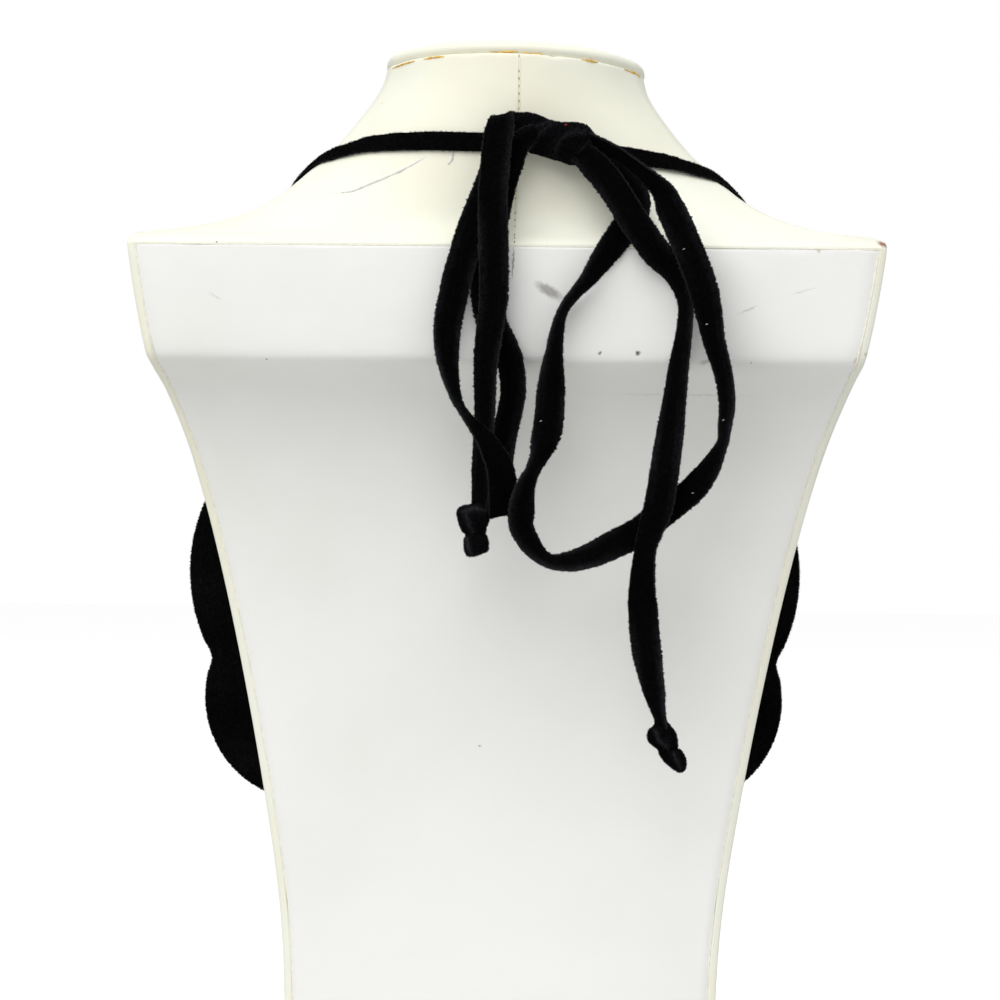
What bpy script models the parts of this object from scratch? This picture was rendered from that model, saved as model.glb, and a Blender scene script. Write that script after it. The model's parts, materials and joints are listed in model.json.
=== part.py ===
"""A ribbon-tie bib necklace on a plain neck bust.

Metres, +Z up. X runs across the shoulders and +Y to the front, where the bib hangs. The origin is the
middle of the flat underside of the bust. The ribbon goes round the neck from the two upper lobes of the
bib and is tied in a bow at the nape, whose loops and tails hang down the back.
"""

import math
from collections import namedtuple

import bpy
from mathutils import Matrix, Vector
from mathutils.bvhtree import BVHTree

# Bust, heights
PEDESTAL_HEIGHT = 0.271  # from the table to the lower edge of the shoulder block
BLOCK_HEIGHT = 0.040  # flat back face of the shoulder block
NECK_RISE = 0.070  # from the seam at the back of the shoulders to the top of the cap
NECKLINE_DIP = 0.026  # how much lower the shoulder line runs at the front

# Bust, widths and depths
SHOULDER_WIDTH = 0.260
WAIST_WIDTH = 0.1486
NECK_WIDTH = 0.0916
BACK_REACH = 0.060  # back face of the shoulder block, behind the origin
BACK_HOLLOW = 0.031  # how far the back panel is drawn in below the block
CHEST_REACH = 0.072  # fullest line of the chest, in front of the origin
NECK_BACK = 0.0446  # back of the neck at its top, behind the origin
NECK_FRONT = 0.0422  # front of the neck at its top, in front of the origin
SIDE_LINE = 0.016  # widest line of the body, in front of its back face
SIDE_FADE = 3.0  # how quickly the hollow of the back dies out round the sides
NECK_LEAN = 0.0014  # the neck stands a little to the right
NECK_SLOPE = 0.028  # and its top drops a little that way

# Back panel and neck cap
PANEL_THICKNESS = 0.0012
RIM_WIDTH = 0.0030  # of the front cover, turned over the edge round the panel
CAP_THICKNESS = 0.0034
CAP_CROWN = 0.0016
GLUE_GAP = 0.0006  # open line between the cap and the neck

# Ribbon
RIBBON_WIDTH = 0.0100
RIBBON_THICKNESS = 0.0010
RIBBON_CUP = 0.0004  # the edges curl back by this much
RIBBON_STANDOFF = 0.0006  # of the ribbon over the leather it lies on

# Bib
UPPER_LOBE_RADIUS = 0.0645
UPPER_LOBE_SPREAD = 0.0478  # centre of an upper lobe from the middle of the bib
LOWER_LOBE_RADIUS = 0.0398
LOWER_LOBE_SPREAD = 0.0666
LOWER_LOBE_DROP = 0.0457  # centre of a lower lobe below the upper ones
BOTTOM_LOBE_RADIUS = 0.0420
BOTTOM_LOBE_DROP = 0.0730
BIB_THICKNESS = 0.0028
BIB_HEIGHT = 0.1966  # centres of the upper lobes above the table
BIB_OFFSET = -0.0060  # it hangs a little to the left
BIB_BEND = 0.0290  # its side edges lie this far behind its middle
RIBBON_HOLD = 0.0120  # length of ribbon sewn to the back of a lobe
RIBBON_ENTRY_SHIFT = 0.6  # share of its way across to the middle of the lobe made by then
RIBBON_ENTRY = 0.0048  # below the top of a lobe, where its ribbon passes behind it
BIB_STANDOFF = 0.0012  # of the back of the bib from the chest

# Knots
KNOT_WIDTH = 0.0290
KNOT_HEIGHT = 0.0150
KNOT_DEPTH = 0.0134
KNOT_SLANT = 0.0029  # the top of the right end of the knot lies this much further right than its bottom
END_KNOT_WIDTH = 0.0104
END_KNOT_HEIGHT = 0.0168
END_KNOT_DEPTH = 0.0080

CLEARANCE = 0.0003
FRONT_STEPS = 26  # points round the front of a section of the bust
BACK_STEPS = 6  # points from the panel's edge to the middle of the back
BIB_SPOKES = 96
BIB_RINGS = 6

# Sections of the bust up to the shoulder seam. rise is a share of the pedestal's height, and past 1 of the
# block's. width goes from the waist, 0, to the shoulders, 1. hollow is a share of BACK_HOLLOW, front of
# CHEST_REACH and dip of NECKLINE_DIP. taper thins the sides towards the shoulder ends.
BodySection = namedtuple("BodySection", "rise width hollow front dip taper")
BODY_SECTIONS = [
    BodySection(0.000, 0.016, 0.28, 0.76, 0.00, 0.50),
    BodySection(0.100, 0.000, 0.50, 0.74, 0.00, 0.50),
    BodySection(0.210, 0.014, 0.69, 0.75, 0.00, 0.50),
    BodySection(0.310, 0.054, 0.82, 0.79, 0.00, 0.50),
    BodySection(0.420, 0.143, 0.92, 0.86, 0.00, 0.50),
    BodySection(0.520, 0.232, 0.98, 0.94, 0.00, 0.50),
    BodySection(0.620, 0.329, 1.00, 0.99, 0.00, 0.51),
    BodySection(0.700, 0.414, 1.00, 1.00, 0.03, 0.53),
    BodySection(0.770, 0.495, 0.98, 0.98, 0.08, 0.56),
    BodySection(0.830, 0.571, 0.95, 0.945, 0.16, 0.59),
    BodySection(0.880, 0.646, 0.90, 0.905, 0.25, 0.62),
    BodySection(0.920, 0.714, 0.83, 0.87, 0.33, 0.64),
    BodySection(0.950, 0.773, 0.73, 0.84, 0.40, 0.66),
    BodySection(0.972, 0.814, 0.58, 0.82, 0.45, 0.67),
    BodySection(0.985, 0.838, 0.38, 0.81, 0.48, 0.68),
    BodySection(0.993, 0.854, 0.17, 0.80, 0.50, 0.69),
    BodySection(1.000, 0.868, 0.05, 0.79, 0.52, 0.69),
    BodySection(1.060, 0.880, 0.00, 0.78, 0.55, 0.70),
    BodySection(1.330, 0.923, 0.00, 0.75, 0.67, 0.72),
    BodySection(1.660, 0.966, 0.00, 0.72, 0.82, 0.74),
    BodySection(1.930, 0.994, 0.00, 0.70, 0.95, 0.75),
]

# Sections from the shoulder seam up to the top of the neck. width goes from the neck, 0, to the shoulders, 1.
# back goes from the neck's back, 0, to the block's, 1, and front from the neck's front, 0, to the chest at
# the seam, 1. The heights at the back, the sides and the front are shares of NECK_RISE. square is the
# exponent of the outline's back half, 2 for an ellipse. centre is where the widest line lies, from SIDE_LINE, 0,
# to the middle of the neck, 1.
NeckSection = namedtuple("NeckSection", "width back front at_back at_side at_front square centre taper")
NECK_SECTIONS = [
    NeckSection(1.000, 1.00, 1.00, 0.000, 0.000, -0.370, 20.0, 0.00, 0.75),
    NeckSection(0.994, 0.95, 0.93, 0.014, 0.050, -0.340, 18.0, 0.00, 0.75),
    NeckSection(0.965, 0.84, 0.86, 0.030, 0.072, -0.300, 12.0, 0.04, 0.74),
    NeckSection(0.870, 0.63, 0.74, 0.050, 0.086, -0.230, 8.0, 0.16, 0.72),
    NeckSection(0.748, 0.44, 0.61, 0.082, 0.106, -0.145, 5.6, 0.36, 0.69),
    NeckSection(0.628, 0.31, 0.50, 0.130, 0.146, -0.058, 4.2, 0.55, 0.65),
    NeckSection(0.516, 0.23, 0.41, 0.195, 0.204, 0.030, 3.4, 0.70, 0.61),
    NeckSection(0.407, 0.18, 0.33, 0.286, 0.292, 0.135, 2.8, 0.82, 0.58),
    NeckSection(0.304, 0.14, 0.25, 0.412, 0.412, 0.270, 2.4, 0.91, 0.55),
    NeckSection(0.210, 0.11, 0.18, 0.520, 0.515, 0.400, 2.2, 0.96, 0.53),
    NeckSection(0.140, 0.08, 0.12, 0.630, 0.617, 0.520, 2.1, 0.98, 0.52),
    NeckSection(0.077, 0.05, 0.07, 0.740, 0.715, 0.640, 2.0, 1.00, 0.51),
    NeckSection(0.028, 0.02, 0.03, 0.840, 0.800, 0.740, 2.0, 1.00, 0.50),
    NeckSection(0.008, 0.01, 0.01, 0.905, 0.860, 0.810, 2.0, 1.00, 0.50),
    NeckSection(0.000, 0.00, 0.00, 0.955, 0.908, 0.861, 2.0, 1.00, 0.50),
]
RECESS_TOP = 1.985  # rise at which the panel's recess ends, below the seam

# Sections of the cap: share of the neck's outline, share of CAP_THICKNESS and share of CAP_CROWN.
CapSection = namedtuple("CapSection", "size rise crown")
CAP_SECTIONS = [
    CapSection(0.985, 0.00, 0.0),
    CapSection(1.010, 0.20, 0.0),
    CapSection(1.016, 0.50, 0.0),
    CapSection(1.004, 0.80, 0.0),
    CapSection(0.965, 1.00, 0.0),
    CapSection(0.820, 1.00, 0.45),
    CapSection(0.500, 1.00, 0.85),
]

# Routes of the ribbon round the neck, from under the knot over the shoulder and down the chest. Each point
# is laid on the bust. width is a share of RIBBON_WIDTH, less where the ribbon is drawn together by the knot.
RoutePoint = namedtuple("RoutePoint", "x y z width")
LEFT_NECK_ROUTE = [
    RoutePoint(0.002, -0.047, 0.3465, 0.66),
    RoutePoint(-0.008, -0.047, 0.3468, 0.66),
    RoutePoint(-0.022, -0.044, 0.3472, 0.68),
    RoutePoint(-0.036, -0.040, 0.3470, 0.70),
    RoutePoint(-0.049, -0.032, 0.3460, 0.70),
    RoutePoint(-0.058, -0.024, 0.3440, 0.72),
    RoutePoint(-0.067, -0.014, 0.3410, 0.78),
    RoutePoint(-0.075, -0.003, 0.3370, 0.86),
    RoutePoint(-0.079, 0.007, 0.3310, 0.94),
    RoutePoint(-0.079, 0.017, 0.3220, 1.00),
    RoutePoint(-0.075, 0.026, 0.3090, 1.00),
    RoutePoint(-0.070, 0.033, 0.2950, 1.00),
    RoutePoint(-0.066, 0.039, 0.2810, 1.00),
]
RIGHT_NECK_ROUTE = [
    RoutePoint(0.019, -0.046, 0.3450, 0.70),
    RoutePoint(0.029, -0.044, 0.3440, 0.70),
    RoutePoint(0.041, -0.039, 0.3420, 0.70),
    RoutePoint(0.051, -0.032, 0.3392, 0.70),
    RoutePoint(0.060, -0.025, 0.3358, 0.70),
    RoutePoint(0.068, -0.016, 0.3318, 0.72),
    RoutePoint(0.076, -0.006, 0.3275, 0.78),
    RoutePoint(0.081, 0.004, 0.3240, 0.88),
    RoutePoint(0.081, 0.014, 0.3160, 1.00),
    RoutePoint(0.0755, 0.024, 0.3060, 1.00),
    RoutePoint(0.0670, 0.032, 0.2940, 1.00),
    RoutePoint(0.0575, 0.039, 0.2820, 1.00),
]

# Routes of the ribbon that hangs free below the knot. turn is the angle in degrees between the ribbon's
# face and the plane of the back.
Station = namedtuple("Station", "x y z turn")
LEFT_TAIL_ROUTE = [
    Station(-0.0020, -0.0556, 0.3556, 0),
    Station(-0.0018, -0.0592, 0.3543, 0),
    Station(-0.0022, -0.0614, 0.3512, 5),
    Station(-0.0032, -0.0627, 0.3450, 8),
    Station(-0.0038, -0.0640, 0.3355, 8),
    Station(-0.0044, -0.0662, 0.3260, 0),
    Station(-0.0038, -0.0687, 0.3071, 0),
    Station(-0.0036, -0.0690, 0.2909, 14),
    Station(-0.0055, -0.0690, 0.2740, 30),
    Station(-0.0059, -0.0690, 0.2652, 40),
    Station(-0.0060, -0.0675, 0.2514, 46),
    Station(-0.0065, -0.0665, 0.2399, 46),
    Station(-0.0072, -0.0665, 0.2240, 42),
]
RIGHT_TAIL_ROUTE = [
    Station(0.0280, -0.0600, 0.3400, 0),
    Station(0.0338, -0.0620, 0.3335, 5),
    Station(0.0384, -0.0647, 0.3267, 5),
    Station(0.0441, -0.0663, 0.3179, 0),
    Station(0.0508, -0.0668, 0.3085, 8),
    Station(0.0552, -0.0668, 0.3041, 25),
    Station(0.0584, -0.0662, 0.2990, 48),
    Station(0.0607, -0.0657, 0.2916, 62),
    Station(0.0606, -0.0660, 0.2838, 60),
    Station(0.0597, -0.0665, 0.2764, 56),
    Station(0.0587, -0.0670, 0.2696, 50),
    Station(0.0572, -0.0680, 0.2561, 38),
    Station(0.0564, -0.0690, 0.2493, 25),
    Station(0.0547, -0.0700, 0.2358, 14),
    Station(0.0526, -0.0710, 0.2223, 10),
    Station(0.0499, -0.0720, 0.2145, 34),
    Station(0.0480, -0.0720, 0.2071, 44),
    Station(0.0473, -0.0715, 0.1953, 30),
    Station(0.0478, -0.0710, 0.1869, 8),
    Station(0.0488, -0.0705, 0.1767, 0),
    Station(0.0503, -0.0700, 0.1666, 30),
    Station(0.0522, -0.0690, 0.1565, 50),
    Station(0.0542, -0.0685, 0.1492, 62),
]
LEFT_LOOP_ROUTE = [
    Station(0.0100, -0.0573, 0.3492, 0),
    Station(0.0066, -0.0572, 0.3478, 0),
    Station(0.0026, -0.0570, 0.3437, 0),
    Station(0.0000, -0.0566, 0.3372, 0),
    Station(-0.0018, -0.0570, 0.3315, 0),
    Station(-0.0037, -0.0590, 0.3217, 0),
    Station(-0.0056, -0.0616, 0.3119, 0),
    Station(-0.0066, -0.0626, 0.3024, 0),
    Station(-0.0066, -0.0626, 0.2933, 0),
    Station(-0.0046, -0.0628, 0.2845, 0),
    Station(-0.0012, -0.0632, 0.2777, 10),
    Station(0.0017, -0.0632, 0.2713, 25),
    Station(0.0029, -0.0625, 0.2618, 30),
    Station(0.0018, -0.0620, 0.2537, 32),
    Station(-0.0003, -0.0620, 0.2443, 28),
    Station(-0.0012, -0.0622, 0.2355, 28),
    Station(-0.0002, -0.0632, 0.2262, 8),
    Station(0.0004, -0.0650, 0.2208, 0),
    Station(0.0006, -0.0672, 0.2192, 0),
    Station(0.0006, -0.0698, 0.2210, 0),
    Station(0.0004, -0.0720, 0.2257, 5),
    Station(-0.0008, -0.0738, 0.2341, 22),
    Station(-0.0044, -0.0745, 0.2416, 44),
    Station(-0.0088, -0.0745, 0.2476, 64),
    Station(-0.0130, -0.0740, 0.2527, 75),
    Station(-0.0160, -0.0730, 0.2575, 74),
    Station(-0.0182, -0.0715, 0.2652, 58),
    Station(-0.0195, -0.0700, 0.2740, 40),
    Station(-0.0192, -0.0680, 0.2838, 22),
    Station(-0.0164, -0.0665, 0.2976, 5),
    Station(-0.0133, -0.0655, 0.3094, 0),
    Station(-0.0099, -0.0638, 0.3199, 0),
    Station(-0.0066, -0.0620, 0.3287, 0),
    Station(-0.0038, -0.0604, 0.3372, 0),
    Station(-0.0028, -0.0596, 0.3430, 0),
    Station(-0.0022, -0.0591, 0.3480, 0),
]
RIGHT_LOOP_ROUTE = [
    Station(0.0306, -0.0570, 0.3452, 62),
    Station(0.0381, -0.0595, 0.3412, 68),
    Station(0.0450, -0.0620, 0.3358, 66),
    Station(0.0512, -0.0650, 0.3301, 52),
    Station(0.0547, -0.0690, 0.3243, 22),
    Station(0.0587, -0.0725, 0.3159, 5),
    Station(0.0627, -0.0745, 0.3067, 0),
    Station(0.0664, -0.0750, 0.2966, 6),
    Station(0.0684, -0.0745, 0.2882, 28),
    Station(0.0704, -0.0735, 0.2780, 46),
    Station(0.0736, -0.0720, 0.2672, 56),
    Station(0.0749, -0.0705, 0.2574, 60),
    Station(0.0743, -0.0695, 0.2493, 68),
    Station(0.0735, -0.0690, 0.2436, 70),
    Station(0.0696, -0.0680, 0.2358, 48),
    Station(0.0653, -0.0665, 0.2297, 30),
    Station(0.0599, -0.0650, 0.2247, 25),
    Station(0.0533, -0.0640, 0.2196, 15),
    Station(0.0466, -0.0640, 0.2139, 8),
    Station(0.0382, -0.0645, 0.2097, 18),
    Station(0.0308, -0.0655, 0.2061, 32),
    Station(0.0231, -0.0690, 0.2037, 50),
    Station(0.0168, -0.0720, 0.2040, 66),
    Station(0.0110, -0.0745, 0.2085, 50),
    Station(0.0072, -0.0757, 0.2149, 38),
    Station(0.0070, -0.0757, 0.2213, 32),
    Station(0.0082, -0.0745, 0.2274, 48),
    Station(0.0104, -0.0725, 0.2335, 64),
    Station(0.0124, -0.0700, 0.2389, 52),
    Station(0.0142, -0.0685, 0.2443, 24),
    Station(0.0154, -0.0675, 0.2507, 0),
    Station(0.0162, -0.0668, 0.2618, 22),
    Station(0.0172, -0.0664, 0.2726, 53),
    Station(0.0183, -0.0662, 0.2814, 66),
    Station(0.0208, -0.0660, 0.2895, 74),
    Station(0.0280, -0.0665, 0.2983, 62),
    Station(0.0348, -0.0650, 0.3084, 34),
    Station(0.0400, -0.0620, 0.3159, 20),
    Station(0.0438, -0.0582, 0.3225, 12),
    Station(0.0436, -0.0550, 0.3287, 10),
    Station(0.0388, -0.0520, 0.3350, 5),
    Station(0.0318, -0.0505, 0.3398, 0),
]
LOOP_STEPS = 2  # pieces of ribbon between two stations of its route
NECK_RIBBON_STEPS = 3
EASING_STEPS = 2  # passes that smooth the ribbon where it crosses the curve of the shoulder

# Sections of the knot at the nape, from left to right. at is a share of KNOT_WIDTH, the top and bottom
# are shares of KNOT_HEIGHT from its middle, and the front and back shares of KNOT_DEPTH.
KnotSection = namedtuple("KnotSection", "at bottom top back front")
KNOT_SECTIONS = [
    KnotSection(0.00, -0.02, 0.42, 0.10, 0.42),
    KnotSection(0.05, -0.16, 0.58, 0.04, 0.50),
    KnotSection(0.20, -0.24, 0.63, 0.00, 0.54),
    KnotSection(0.40, -0.30, 0.55, 0.00, 0.56),
    KnotSection(0.46, -0.34, 0.50, 0.00, 0.80),
    KnotSection(0.58, -0.40, 0.44, 0.00, 0.96),
    KnotSection(0.70, -0.46, 0.42, 0.00, 1.00),
    KnotSection(0.78, -0.42, 0.40, 0.02, 1.00),
    KnotSection(0.88, -0.16, 0.36, 0.06, 0.94),
    KnotSection(0.96, 0.02, 0.22, 0.16, 0.78),
]
Place = namedtuple("Place", "x y z")
KNOT_LEFT = Place(0.0015, -0.0473, 0.3465)  # left end of the knot, against the ribbon on the neck
KNOT_SIDES = 16
NAPE = 0.5071  # height of the knot over the seam, as a share of NECK_RISE

# Sections of a knot at the end of a tail, from the top down: at and half widths as shares of its size.
EndSection = namedtuple("EndSection", "at width depth shift")
END_SECTIONS = [
    EndSection(0.00, 0.50, 0.30, 0.18),
    EndSection(0.07, 0.90, 0.80, 0.03),
    EndSection(0.24, 1.00, 1.00, 0.00),
    EndSection(0.42, 0.86, 0.92, 0.04),
    EndSection(0.53, 0.70, 0.70, 0.10),
    EndSection(0.62, 0.76, 0.82, 0.14),
    EndSection(0.80, 0.80, 0.94, 0.14),
    EndSection(0.94, 0.62, 0.72, 0.08),
    EndSection(1.00, 0.30, 0.34, 0.04),
]
END_SIDES = 12
LEFT_END_KNOT = Place(-0.0104, -0.0665, 0.2225)  # top of the knot, below the end of its tail
RIGHT_END_KNOT = Place(0.0529, -0.0685, 0.1475)
LEFT_END_LEAN = -1  # degrees from straight down
RIGHT_END_LEAN = 29

SEAM_HEIGHT = PEDESTAL_HEIGHT + BLOCK_HEIGHT
BOW_LIFT = SEAM_HEIGHT + NAPE * NECK_RISE - KNOT_LEFT.z  # moves the bow with the nape
Ring = namedtuple("Ring", "half back middle side front at_back at_side at_front square taper recess lean")


def clear_scene():
    for obj in list(bpy.data.objects):
        bpy.data.objects.remove(obj)


def make_material(name, colour, roughness):
    material = bpy.data.materials.new(name)
    material.use_nodes = True
    shader = material.node_tree.nodes["Principled BSDF"]
    shader.inputs["Base Color"].default_value = (*colour, 1.0)
    shader.inputs["Roughness"].default_value = roughness
    return material


def mix(low, high, share):
    return low + (high - low) * share


def add_piece(name, points, faces, material, smooth_angle=40):
    """A mesh object with its faces turned outwards and its round parts shaded smooth."""
    mesh = bpy.data.meshes.new(name)
    mesh.from_pydata([tuple(p) for p in points], [], faces)
    mesh.update()
    mesh.shade_smooth()
    mesh.set_sharp_from_angle(angle=math.radians(smooth_angle))
    mesh.materials.append(material)
    obj = bpy.data.objects.new(name, mesh)
    bpy.context.scene.collection.objects.link(obj)
    return obj


def skin(rings):
    """Points and faces of a closed body through rings of equally many points.

    The rings go round anticlockwise, seen from the end of the body that they run towards.
    """
    count = len(rings[0])
    points = [p for ring in rings for p in ring]
    faces = [tuple(reversed(range(count)))]
    for i in range(len(rings) - 1):
        for j in range(count):
            k = (j + 1) % count
            faces.append((i * count + j, i * count + k, (i + 1) * count + k, (i + 1) * count + j))
    last = (len(rings) - 1) * count
    faces.append(tuple(last + j for j in range(count)))
    return points, faces


def body_ring(section, recess):
    """A section below the shoulder seam, as a Ring."""
    if section.rise <= 1:
        height = section.rise * PEDESTAL_HEIGHT
    else:
        height = PEDESTAL_HEIGHT + (section.rise - 1) * BLOCK_HEIGHT
    back = -BACK_REACH + section.hollow * BACK_HOLLOW
    return Ring(
        half=mix(WAIST_WIDTH, SHOULDER_WIDTH, section.width) / 2,
        back=back,
        middle=back + SIDE_LINE,
        side=SIDE_LINE - BACK_REACH,
        front=section.front * CHEST_REACH,
        at_back=height,
        at_side=height,
        at_front=height - section.dip * NECKLINE_DIP,
        square=20.0,
        taper=section.taper,
        recess=recess,
        lean=0.0,
    )


def neck_ring(section):
    """A section from the shoulder seam up, as a Ring."""
    back = -mix(NECK_BACK, BACK_REACH, section.back)
    seam_front = BODY_SECTIONS[-1].front * CHEST_REACH
    front = mix(NECK_FRONT, seam_front, section.front)
    middle = mix(back + SIDE_LINE, (back + front) / 2, section.centre)
    return Ring(
        half=mix(NECK_WIDTH, SHOULDER_WIDTH, section.width) / 2,
        back=back,
        middle=middle,
        side=middle,
        front=front,
        at_back=SEAM_HEIGHT + section.at_back * NECK_RISE,
        at_side=SEAM_HEIGHT + section.at_side * NECK_RISE,
        at_front=SEAM_HEIGHT + section.at_front * NECK_RISE,
        square=section.square,
        taper=section.taper,
        recess=0.0,
        lean=max(section.at_side, 0.0) ** 2,
    )


def between(low, high, share):
    """The Ring that lies a share of the way from one Ring to the next."""
    return Ring(*(mix(a, b, share) for a, b in zip(low, high)))


def bust_rings():
    """Every section of the bust, with the pair that ends the panel's recess below the seam."""
    rings = [body_ring(section, 1.0) for section in BODY_SECTIONS]
    seam = neck_ring(NECK_SECTIONS[0])
    share = (RECESS_TOP - BODY_SECTIONS[-1].rise) / (2 - BODY_SECTIONS[-1].rise)
    recess_top = between(rings[-1], seam, share)
    rings.append(recess_top._replace(recess=1.0))
    above = between(recess_top, seam, 0.3)
    rings.append(above._replace(recess=0.0))
    return rings + [neck_ring(section) for section in NECK_SECTIONS]


def back_line(ring, x):
    """How far back the outline of a ring lies at x from its middle line."""
    share = min(abs(x) / ring.half, 1.0)
    return ring.middle - (ring.middle - ring.back) * (1 - share**ring.square) ** (1 / ring.square)


def height_at(ring, y):
    """The height of a ring's outline, which differs between its back, its sides and its front."""
    if y < ring.middle:
        share = (y - ring.back) / (ring.middle - ring.back)
        return mix(ring.at_back, ring.at_side, max(share, 0.0))
    share = (y - ring.middle) / (ring.front - ring.middle)
    return mix(ring.at_side, ring.at_front, share)


def placed(ring, x, y, height):
    """A point of a ring in the bust, with the lean of the neck."""
    lean = ring.lean
    return Vector((x + NECK_LEAN * lean, y, height - NECK_SLOPE * lean * x))


def back_offsets(ring):
    """Distances from the middle to the points of one half of the back, outermost first."""
    rim = ring.half - RIM_WIDTH
    corner = [ring.half - share * RIM_WIDTH for share in (0.2, 0.5, 1.0)]
    inside = rim - CLEARANCE
    return corner, [inside * (1 - i / BACK_STEPS) for i in range(BACK_STEPS)]


def ring_outline(ring):
    """The closed outline of a ring, anticlockwise from above, with the panel's recess in its back."""
    depth = ring.recess * (PANEL_THICKNESS + CLEARANCE)
    corner, inner = back_offsets(ring)
    left = [(-x, back_line(ring, x), 0.0) for x in corner] + [(-x, back_line(ring, x), depth) for x in inner]
    right = [(-x, y, cut) for x, y, cut in reversed(left)]
    outline = [placed(ring, x, y + cut, height_at(ring, y)) for x, y, cut in left]
    outline.append(placed(ring, 0.0, ring.back + depth, ring.at_back))
    outline += [placed(ring, x, y + cut, height_at(ring, y)) for x, y, cut in right]
    for i in range(FRONT_STEPS + 1):
        angle = math.pi * i / FRONT_STEPS
        x = ring.half * math.cos(angle)
        forward = abs(math.sin(angle))
        y = ring.side + (ring.front - ring.side) * forward ** (2 * ring.taper)
        y += (ring.middle - ring.side) * (1 - forward) ** SIDE_FADE
        outline.append(placed(ring, x, y, height_at(ring, y)))
    return outline


def build_bust(leather):
    rings = [ring_outline(ring) for ring in bust_rings()]
    return add_piece("bust_body", *skin(rings), leather, smooth_angle=35)


def build_back_panel(leatherette):
    """The sheet let into the back of the bust, from the base to the shoulder seam."""
    rings = []
    for ring in bust_rings():
        if ring.recess < 1:
            break
        offsets = [x - CLEARANCE for x in back_offsets(ring)[1][:1]] + back_offsets(ring)[1][1:]
        spread = [-x for x in offsets] + [0.0] + list(reversed(offsets))
        outer = [(x, back_line(ring, x)) for x in spread]
        inner = [(x, y + PANEL_THICKNESS) for x, y in reversed(outer)]
        rings.append([Vector((x, y, ring.at_back)) for x, y in outer + inner])
    for end, shift in ((0, CLEARANCE), (-1, -CLEARANCE)):
        rings[end] = [p + Vector((0, 0, shift)) for p in rings[end]]
    return add_piece("back_panel", *skin(rings), leatherette)


def build_neck_cap(leather):
    """The thin padded cap glued on the top of the neck."""
    top = neck_ring(NECK_SECTIONS[-1])
    middle = Vector((0, (top.back + top.front) / 2, 0))
    rim = ring_outline(top)
    centre = placed(top, 0.0, middle.y, height_at(top, middle.y))
    normal = (rim[0] - centre).cross(rim[len(rim) // 2] - centre).normalized()
    if normal.z < 0:
        normal = -normal
    rings = []
    for section in CAP_SECTIONS:
        lift = GLUE_GAP + section.rise * CAP_THICKNESS + section.crown * CAP_CROWN
        rings.append([centre + (p - centre) * section.size + normal * lift for p in rim])
    return add_piece("neck_cap", *skin(rings), leather)


def smooth_path(points, steps):
    """Vectors along a smooth curve through the given ones, of any length."""
    path = []
    count = len(points)
    for i in range(count - 1):
        before = points[max(i - 1, 0)]
        here = points[i]
        there = points[i + 1]
        after = points[min(i + 2, count - 1)]
        for k in range(steps):
            t = k / steps
            path.append(
                0.5
                * (
                    2 * here
                    + (there - before) * t
                    + (2 * before - 5 * here + 4 * there - after) * t * t
                    + (3 * here - before - 3 * there + after) * t**3
                )
            )
    path.append(points[-1].copy())
    return path


def tangents(path):
    last = len(path) - 1
    return [(path[min(i + 1, last)] - path[max(i - 1, 0)]).normalized() for i in range(last + 1)]


def band_rings(path, across):
    """Sections of a ribbon along a path: a thin strip whose edges curl back a little."""
    rings = []
    for point, along, side in zip(path, tangents(path), across):
        face = along.cross(side).normalized()
        half = side * RIBBON_WIDTH / 2
        thick = face * RIBBON_THICKNESS / 2
        curl = face * RIBBON_CUP
        rings.append(
            [
                point - half - thick - curl,
                point - thick,
                point + half - thick - curl,
                point + half + thick - curl,
                point + thick,
                point - half + thick - curl,
            ]
        )
    return rings


def sides_from_turn(path, turns):
    """The direction across the ribbon at each point, from its turn out of the plane of the back."""
    sides = []
    flat = None
    for along, turn in zip(tangents(path), turns):
        level = Vector((-along.z, 0.0, along.x))
        if level.length < 0.35 and flat is not None:
            level = flat - along * flat.dot(along)
        level.normalize()
        if flat is not None and level.dot(flat) < 0:
            level = -level
        flat = level
        sides.append(Matrix.Rotation(math.radians(turn), 3, along) @ level)
    return sides


def build_hanging_ribbon(name, route, velvet):
    """A loop or tail that hangs free from the knot."""
    steps = [Vector((s.x, s.y, s.z + BOW_LIFT, s.turn)) for s in route]
    fine = smooth_path(steps, LOOP_STEPS)
    path = [p.to_3d() for p in fine]
    sides = sides_from_turn(path, [p[3] for p in fine])
    return add_piece(name, *skin(band_rings(path, sides)), velvet, smooth_angle=60)


def bib_radius(angle):
    """Distance from the middle of the bib to its scalloped edge, the furthest reach of its lobes."""
    heading = Vector((math.cos(angle), math.sin(angle)))
    lobes = [
        (Vector((UPPER_LOBE_SPREAD, 0)), UPPER_LOBE_RADIUS),
        (Vector((-UPPER_LOBE_SPREAD, 0)), UPPER_LOBE_RADIUS),
        (Vector((LOWER_LOBE_SPREAD, -LOWER_LOBE_DROP)), LOWER_LOBE_RADIUS),
        (Vector((-LOWER_LOBE_SPREAD, -LOWER_LOBE_DROP)), LOWER_LOBE_RADIUS),
        (Vector((0, -BOTTOM_LOBE_DROP)), BOTTOM_LOBE_RADIUS),
    ]
    reach = 0.0
    for centre, radius in lobes:
        along = centre.dot(heading)
        inside = radius**2 - centre.length_squared + along**2
        if inside > 0:
            reach = max(reach, along + math.sqrt(inside))
    return reach


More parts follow.
